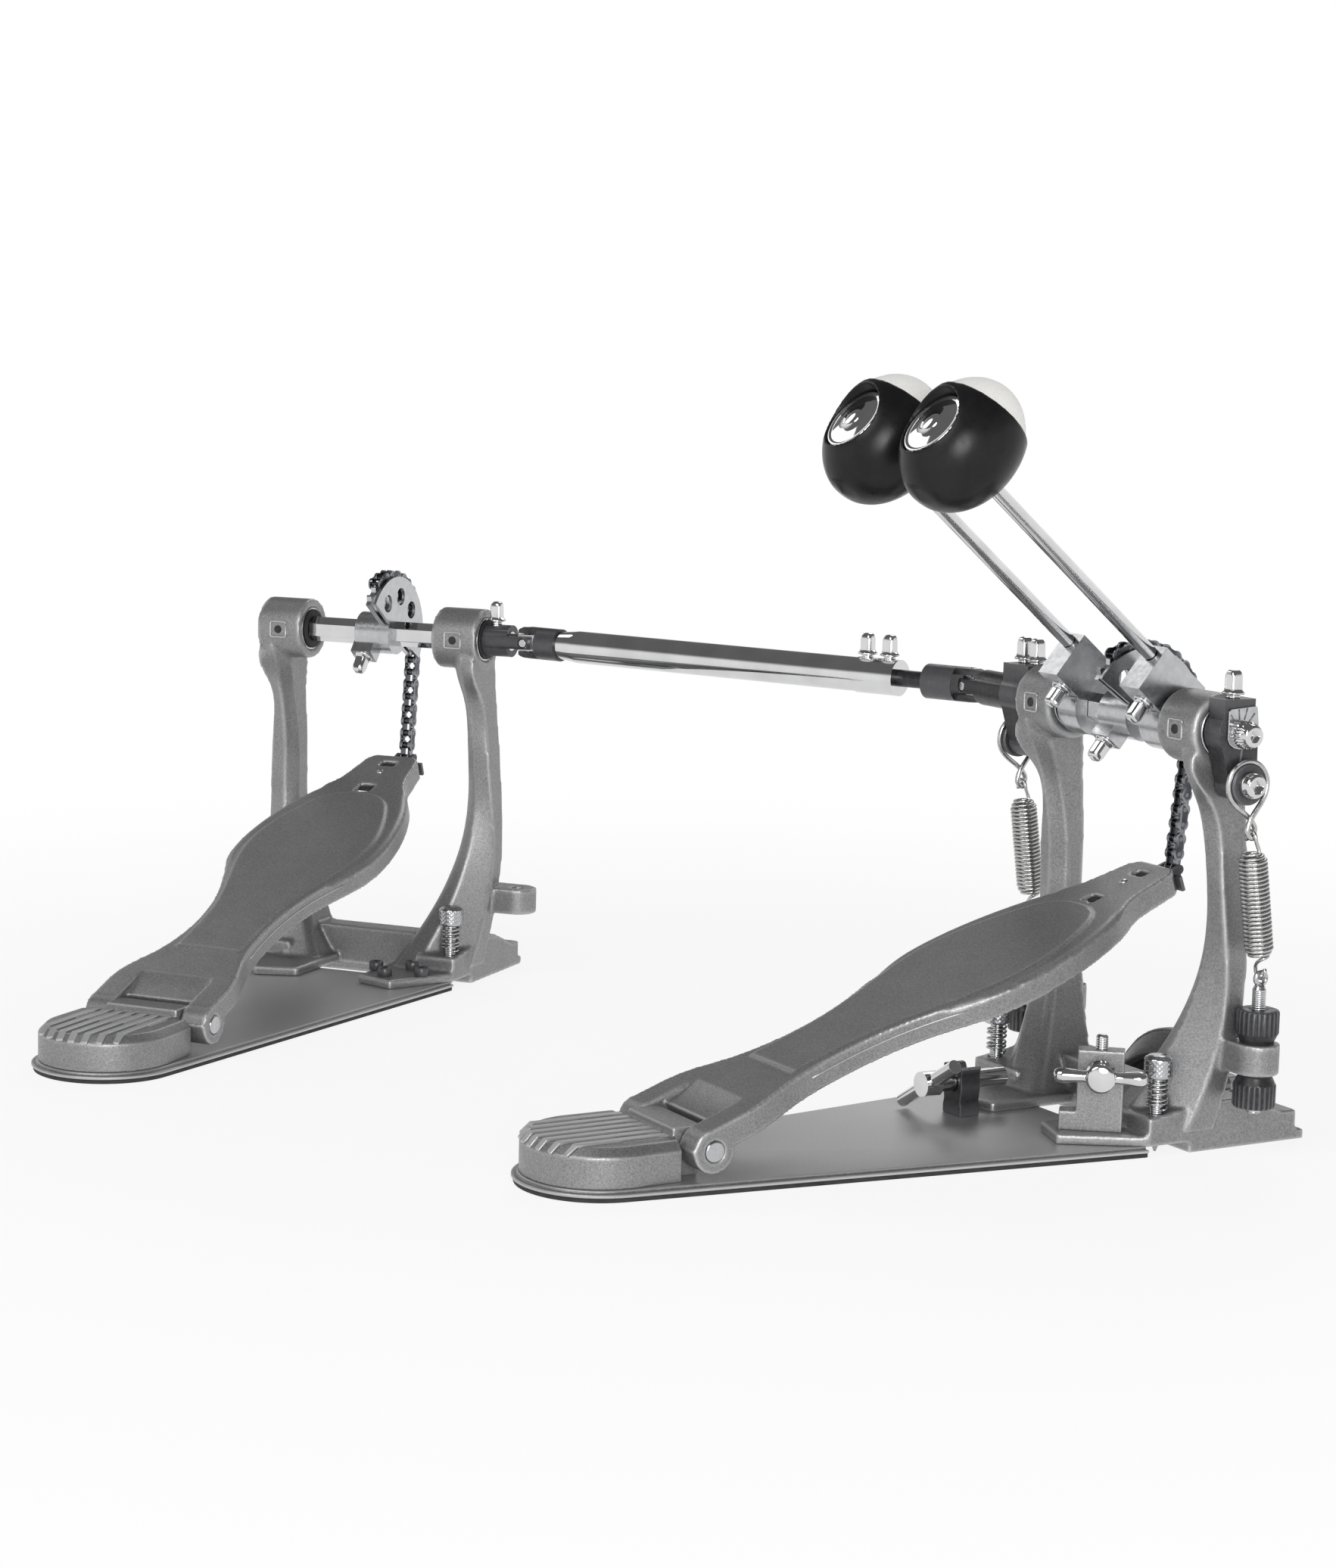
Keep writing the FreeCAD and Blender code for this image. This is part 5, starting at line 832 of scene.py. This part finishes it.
def build_beater(name, side):
    """Shaft with its chromed end disc, crowned head, felt and clamp hub."""
    start = beater_point(side, 0, BEATER_OFFSET)
    disc = BEATER_REACH + DISC_RISE
    profile = [(2.5, -3), (3.1, -2.3), (3.1, disc), (13.9, disc), (14.5, disc + 0.5)]
    profile += [(14.5, disc + 1.3), (14.1, disc + 1.9), (13.2, disc + 2.1), (12.3, disc + 1.6)]
    profile += [(11.9, disc + 1.65), (8, disc + 2.2), (4.6, disc + 2.5), (4.3, disc + 2.9)]
    profile += [(3.6, disc + 3.2), (0.4, disc + 3.3)]
    form = bmesh.new()
    lathe(form, MAIN @ aim(start, SHAFT_WAY), profile, sides=72)
    add_piece(form, name + "_beater_rod", "chrome", name + "_beater", name + "_beater_shaft")
    head = cad_form(name + "_beater_head")
    rear = [face for face in head.faces if is_rear_flat(face)]
    bmesh.ops.poke(head, faces=rear, offset=HEAD_CROWN * MM)
    bmesh.ops.triangulate(head, faces=head.faces)
    cast(name + "_beater_head", grain=0.6, rounds=14, form=head)
    dress(name + "_beater_felt", width=1.6, segments=4)
    dress(name + "_beater_hub", width=0.5, slot="steel")


# Heel plate and footboard

def build_heel_ribs(pedal, place):
    """Narrow ribs along the heel plate that run down over its rear bevel."""
    form = bmesh.new()
    for step in range(-3, 4):
        shift = HEEL_RIB_PITCH * step
        edge = HEEL[1] - math.sqrt(HEEL_EDGE ** 2 - shift ** 2)
        foot = HEEL[1] - math.sqrt(HEEL_FOOT ** 2 - shift ** 2)
        side = [(HEEL_FRONT, HEEL_TOP), (HEEL_FRONT, HEEL_RIB_TOP), (edge, HEEL_RIB_TOP)]
        side += [(foot, HEEL_RIB_LOW), (foot, HEEL_LOW), (edge, HEEL_TOP)]
        rings = []
        for half in (-HEEL_RIB_HALF, HEEL_RIB_HALF):
            x = HEEL[0] + shift + half
            rings.append([form.verts.new(place @ Vector((x, y, z))) for y, z in side])
        join_rings(form, rings)
    bmesh.ops.recalc_face_normals(form, faces=form.faces)
    soften(add_piece(form, pedal + "_heel_ribs", "cast_aluminium", pedal + "_base"), width=0.35)


def on_board(x, along, above):
    """Point given by its place along the tilted board and its height above the hinge line."""
    y = HINGE[0] + along * math.cos(BOARD_TILT) - above * math.sin(BOARD_TILT)
    z = HINGE[1] + along * math.sin(BOARD_TILT) + above * math.cos(BOARD_TILT)
    return Vector((x, y, z))


def board_coordinates(point):
    """Inverse of on_board."""
    run, rise = point.y - HINGE[0], point.z - HINGE[1]
    along = run * math.cos(BOARD_TILT) + rise * math.sin(BOARD_TILT)
    above = rise * math.cos(BOARD_TILT) - run * math.sin(BOARD_TILT)
    return point.x, along, above


def board_rim(form, place):
    """Convex edges along the board's top rim, each with its two ends in board coordinates."""
    back = place.inverted()
    rim = []
    for edge in form.edges:
        if len(edge.link_faces) == 2 and edge.is_convex and edge.calc_face_angle(0.0) > SHARP:
            ends = [board_coordinates(back @ vert.co) for vert in edge.verts]
            if all(abs(above - BOARD_RIM) < 0.25 for _, _, above in ends):
                rim.append((edge, ends))
    return rim


def skirt_path(rim, side):
    """Points along one skirt of the board, a little below its rim."""
    found = {}
    for _, ends in rim:
        for x, along, _ in ends:
            if SKIRT_LINE[0] < along < SKIRT_LINE[1] and side * (x - BOARD_SHIFT) > SKIRT_OUT:
                found[round(along, 1)] = x
    height = BOARD_RIM - SKIRT_DROP
    return [on_board(found[along] + side * 0.05, along, height) for along in sorted(found)]


def build_board(pedal, place):
    """Footboard with rolled edges on its wings, a fine line along each skirt, a rivet, and slots whose
    shade is painted as dark plates.
    """
    node = pedal + "_footboard"
    body = BODY_OF[node]
    form = cad_form(node)
    rim = board_rim(form, place)
    lines = bmesh.new()
    for side in (-1, 1):
        sweep(lines, place, skirt_path(rim, side), SKIRT_WIRE, sides=8)
    add_piece(lines, pedal + "_skirt_lines", "cast_aluminium", body)
    wings = [edge for edge, ends in rim if all(WINGS[0] < along < WINGS[1] for _, along, _ in ends)]
    bmesh.ops.bevel(
        form,
        geom=wings,
        offset=WING_ROLL * MM,
        segments=6,
        profile=0.5,
        affect="EDGES",
        clamp_overlap=False,
    )
    cast(node, grain=0.8, rounds=3, form=form)
    tilt = Matrix.Rotation(BOARD_TILT, 4, "X")
    rivet, slot_shades = bmesh.new(), bmesh.new()
    at = place @ Matrix.Translation(on_board(BOARD_SHIFT, RIVET_ALONG, BOARD_RIM)) @ tilt
    lathe(rivet, at, [(1.9, -0.3), (1.9, 0.15), (1.6, 0.55), (1.0, 0.8), (0.2, 0.9)], sides=32)
    add_piece(rivet, pedal + "_board_rivet", "steel", body)
    # Dark plates on the slots' floors, reaching under their walls: painted shade in place of the slots'
    # depth.
    for before_tip, wide, long in SLOTS:
        center = on_board(BOARD_SHIFT, BOARD_LENGTH - before_tip, BOARD_RIM - SLOT_DEPTH)
        outline = rounded_box(wide / 2 + SLOT_OVERLAP, long / 2 + SLOT_OVERLAP, corner=1.0)
        plate(slot_shades, place @ Matrix.Translation(center) @ tilt, outline, low=-0.8, high=0)
    add_piece(slot_shades, pedal + "_board_slot_shades", "rubber_mat", body)


# Chain and springs

def build_chain(pedal):
    """One piece for the wrapped and the hanging stretch, with its place baked into its mesh."""
    nodes = (pedal + "_chain_wrap", pedal + "_chain_run")
    item = finish_mesh(cad_form(*nodes), pedal + "_roller_chain", "steel", "chain_steel")
    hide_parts(*nodes)
    DONE.update(nodes)
    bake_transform(item)


def arc_points(center, radius, first, last, steps):
    """Points of an arc in the X-Z plane, angles in degrees from +X."""
    turns = [math.radians(first + (last - first) * step / steps) for step in range(steps + 1)]
    return [center + Vector((radius * math.cos(turn), 0, radius * math.sin(turn))) for turn in turns]


def bridge(start, start_way, end, end_way, steps=10):
    """Smooth points from one place and direction to another."""
    pull = (end - start).length
    points = []
    for step in range(1, steps):
        t = step / steps
        points.append(
            start * (2 * t ** 3 - 3 * t ** 2 + 1)
            + start_way * pull * (t ** 3 - 2 * t ** 2 + t)
            + end * (3 * t ** 2 - 2 * t ** 3)
            + end_way * pull * (t ** 3 - t ** 2)
        )
    return points


def spring_path(top):
    """Centre line along +Z from the lower hook's centre: hook, close coil with tapered ends, hook."""
    height = SPRING_PITCH * SPRING_TURNS
    start = (top - height) / 2
    count = SPRING_TURNS * STEPS_PER_TURN
    coil = []
    for step in range(count + 1):
        near_end = min(step, count - step) / (2 * STEPS_PER_TURN)
        radius = SPRING_NECK + (SPRING_RADIUS - SPRING_NECK) * min(1.0, near_end)
        coil.append(polar(radius, ring_angle(step, STEPS_PER_TURN), start + height * step / count))
    lead = UP * 2 * SPRING_WIRE
    rise = UP * (start - HOOK_RISE)
    low_hook = arc_points(Vector(), HOOK_RADIUS, 0, -180, 14)
    high_hook = arc_points(Vector((0, 0, top)), HOOK_RADIUS, 0, 180, 14)
    return (
        [low_hook[0] + lead]
        + low_hook
        + bridge(low_hook[-1] + rise, UP, coil[0], (coil[1] - coil[0]).normalized())
        + coil
        + bridge(coil[-1], (coil[-1] - coil[-2]).normalized(), high_hook[0] - rise, UP)
        + high_hook
        + [high_hook[-1] - lead]
    )


def build_return_spring(name):
    """Return spring that stretches between its wire link and its threaded rod."""
    eye = Vector((SPRING_X[name], LUG_Y, ROD_EYE))
    place = MAIN @ Matrix.Translation(eye) @ SPRING_LEAN
    top = SPRING_LINE.length - LINK_REACH
    form = bmesh.new()
    sweep(form, place, spring_path(top), SPRING_WIRE)
    item = finish_mesh(form, name + "_return_coil", "spring_wire")
    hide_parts(name + "_spring")
    DONE.add(name + "_spring")
    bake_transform(item)


def build_spring_link(name):
    """Pear-shaped wire whose ends cross below the pivot screw and curl into a foot for the hook."""
    pivot = Matrix.Translation((SPRING_X[name], ROCKER_PIVOT.y, ROCKER_PIVOT.z))
    place = MAIN @ pivot @ SPRING_LEAN @ Matrix.Rotation(math.pi / 2, 4, "Z")
    foot = Vector((0, 0, -LINK_DROP))
    first = arc_points(foot, LINK_FOOT, -100, LINK_CROSS, 10)
    loop = arc_points(Vector(), LINK_LOOP, 180 + LINK_CROSS, -LINK_CROSS, 32)
    last = arc_points(foot, LINK_FOOT, 180 - LINK_CROSS, 280, 10)
    cross = math.radians(LINK_CROSS)
    rise, fall = (Vector((-math.sin(cross), 0, way * math.cos(cross))) for way in (1, -1))
    points = first + bridge(first[-1], rise, loop[0], rise, steps=16) + loop
    points += bridge(loop[-1], fall, last[0], fall, steps=16) + last
    for index, point in enumerate(points):
        point.y = LINK_SPREAD * math.cos(math.pi * index / (len(points) - 1))
    form = bmesh.new()
    sweep(form, place, points, LINK_WIRE, sides=12)
    add_piece(form, name + "_wire_link", "spring_wire", name + "_link", name + "_spring_link")


def coil_points(radius, turns, low, high):
    """A compression coil about Z whose pitch varies a little along its length."""
    count = int(turns * STEPS_PER_TURN)
    points = []
    for step in range(count + 1):
        share = step / count
        level = share + 0.03 * math.sin(4 * math.pi * share)
        points.append(polar(radius, ring_angle(step, STEPS_PER_TURN), low + (high - low) * level))
    return points


def build_spur_springs(pedal):
    """Locking springs under the spurs' heads, each filling the height of its CAD coil."""
    node = pedal + "_spur_springs"
    low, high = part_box(node)
    wire = SPUR_SPRING_WIRE
    coil = coil_points(SPUR_SPRING_RADIUS, SPUR_SPRING_TURNS, low.z / MM + wire, high.z / MM - wire)
    form = bmesh.new()
    for name in ("left", "right"):
        head_low, head_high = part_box(f"{pedal}_{name}_spur")
        center = (head_low + head_high) / 2
        sweep(form, Matrix.Translation((center.x, center.y, 0)) @ UNIT, coil, wire, sides=8)
    add_piece(form, pedal + "_locking_springs", "spring_wire", pedal + "_base", node)


# Stage: floor, light, camera

def pale_floor():
    """White light, with a share of pale matte surface near the object that takes its shadow."""
    shader = Shader("pale_floor", (0.93, 0.93, 0.93), roughness=0.6)
    middle = shader.add("ShaderNodeVectorMath", operation="SUBTRACT")
    middle.inputs[1].default_value = FLOOR_MIDDLE
    length = shader.add("ShaderNodeVectorMath", operation="LENGTH")
    fade = shader.add("ShaderNodeMapRange", interpolation_type="SMOOTHSTEP")
    set_inputs(fade, {"From Min": 0.2, "From Max": 0.9, "To Min": FLOOR_GLOW, "To Max": 1.0})
    glow = shader.add("ShaderNodeEmission")
    set_inputs(glow, {"Color": (1, 1, 1, 1)})
    blend = shader.add("ShaderNodeMixShader")
    shader.link(shader.place, middle.inputs[0])
    shader.link(middle.outputs["Vector"], length.inputs[0])
    shader.link(length.outputs["Value"], fade.inputs["Value"])
    shader.link(fade.outputs["Result"], blend.inputs["Fac"])
    shader.link(shader.face.outputs["BSDF"], blend.inputs[1])
    shader.link(glow.outputs["Emission"], blend.inputs[2])
    shader.link(blend.outputs["Shader"], shader.tree.nodes["Material Output"].inputs["Surface"])
    return shader.material


def build_floor():
    """Floor that fades to a white background away from the object."""
    form = bmesh.new()
    bmesh.ops.create_grid(form, x_segments=1, y_segments=1, size=FLOOR_HALF)
    mesh = bpy.data.meshes.new("floor")
    form.to_mesh(mesh)
    form.free()
    floor = bpy.data.objects.new("floor", mesh)
    bpy.context.scene.collection.objects.link(floor)
    mesh.materials.append(pale_floor())


def build_world():
    """White backdrop up to a height, with a darker studio ceiling above it."""
    world = bpy.data.worlds.new("studio")
    bpy.context.scene.world = world
    world.use_nodes = True
    tree = world.node_tree
    place = tree.nodes.new("ShaderNodeTexCoord")
    split = tree.nodes.new("ShaderNodeSeparateXYZ")
    ramp = tree.nodes.new("ShaderNodeMapRange")
    ramp.interpolation_type = "SMOOTHSTEP"
    set_inputs(ramp, {"From Min": 0.12, "From Max": 0.42, "To Min": 1.0, "To Max": CEILING})
    tree.links.new(place.outputs["Generated"], split.inputs["Vector"])
    tree.links.new(split.outputs["Z"], ramp.inputs["Value"])
    tree.links.new(ramp.outputs["Result"], tree.nodes["Background"].inputs["Strength"])
    set_inputs(tree.nodes["Background"], {"Color": (1, 1, 1, 1)})


def add_light(name, place, target, size, power):
    """Round soft box, with its place, target and size in metres."""
    lamp = bpy.data.lights.new(name, "AREA")
    lamp.shape = "DISK"
    lamp.size = size
    lamp.energy = power
    item = bpy.data.objects.new(name, lamp)
    item.location = place
    item.rotation_mode = "QUATERNION"
    item.rotation_quaternion = (Vector(target) - Vector(place)).to_track_quat("-Z", "Y")
    bpy.context.scene.collection.objects.link(item)


def build_camera():
    """Camera at the photograph's viewing angle, with its roll and framing."""
    azimuth, elevation, roll = (math.radians(value) for value in CAMERA_ANGLES)
    flat = math.cos(elevation)
    back = Vector((math.sin(azimuth) * flat, -math.cos(azimuth) * flat, math.sin(elevation)))
    level = Vector((math.cos(azimuth), math.sin(azimuth), 0))
    rise = back.cross(level)
    right = level * math.cos(roll) + rise * math.sin(roll)
    up = rise * math.cos(roll) - level * math.sin(roll)
    lens = bpy.data.cameras.new("camera")
    lens.sensor_width = SENSOR
    lens.lens = FOCAL_PIXELS * SENSOR / PHOTO_HIGH
    lens.shift_x = (PHOTO_WIDE / 2 - CENTER_PIXEL[0]) / PHOTO_HIGH
    lens.shift_y = (CENTER_PIXEL[1] - PHOTO_HIGH / 2) / PHOTO_HIGH
    lens.clip_start = 0.05
    lens.clip_end = 100
    camera = bpy.data.objects.new("camera", lens)
    turn = Matrix((right, up, back)).transposed().to_4x4()
    camera.matrix_world = Matrix.Translation(CAMERA_PLACE * MM) @ turn
    bpy.context.scene.collection.objects.link(camera)
    bpy.context.scene.camera = camera


build_camera()
build_world()
build_floor()
add_light("key", place=(0.5, -1.7, 1.5), target=(-0.2, -0.1, 0.1), size=1.3, power=14)
add_light("front", place=(1.9, -1.1, 0.7), target=(-0.1, -0.1, 0.1), size=1.0, power=26)
add_light("back", place=(-1.4, 1.2, 1.6), target=(-0.2, -0.1, 0.1), size=1.2, power=8)
add_light("left", place=(-1.52, -0.51, 1.12), target=(0, -0.1, 0.29), size=0.7, power=2)

for pedal_name, pedal_place in (("main", MAIN), ("slave", SLAVE)):
    build_chain(pedal_name)
    build_heel_ribs(pedal_name, pedal_place)
    build_board(pedal_name, pedal_place)
    build_hub_details(pedal_name, pedal_place)
    build_spurs(pedal_name)
    build_spur_springs(pedal_name)
    cast(pedal_name + "_frame", grain=0.95, rounds=6)
    cast(pedal_name + "_heel_plate", grain=0.6, rounds=4)
for side_name, side_sign in (("left", -1), ("right", 1)):
    build_return_spring(side_name)
    build_spring_link(side_name)
    build_beater(side_name, side_sign)
build_bolts()
build_rocker_details()
build_adjusters()
build_wing_bolt()
build_jaw_brow()
build_flange_screws()
build_key_clip()
dress("drum_key", width=1.2, segments=3)
cast("clamp_block", grain=0.5, rounds=6)
cast("hoop_clamp_jaw", grain=0.6, rounds=6)
for node_name in sorted(set(frame["nodes"]) - DONE):
    dress(node_name)

bpy.context.scene.view_settings.view_transform = "Standard"
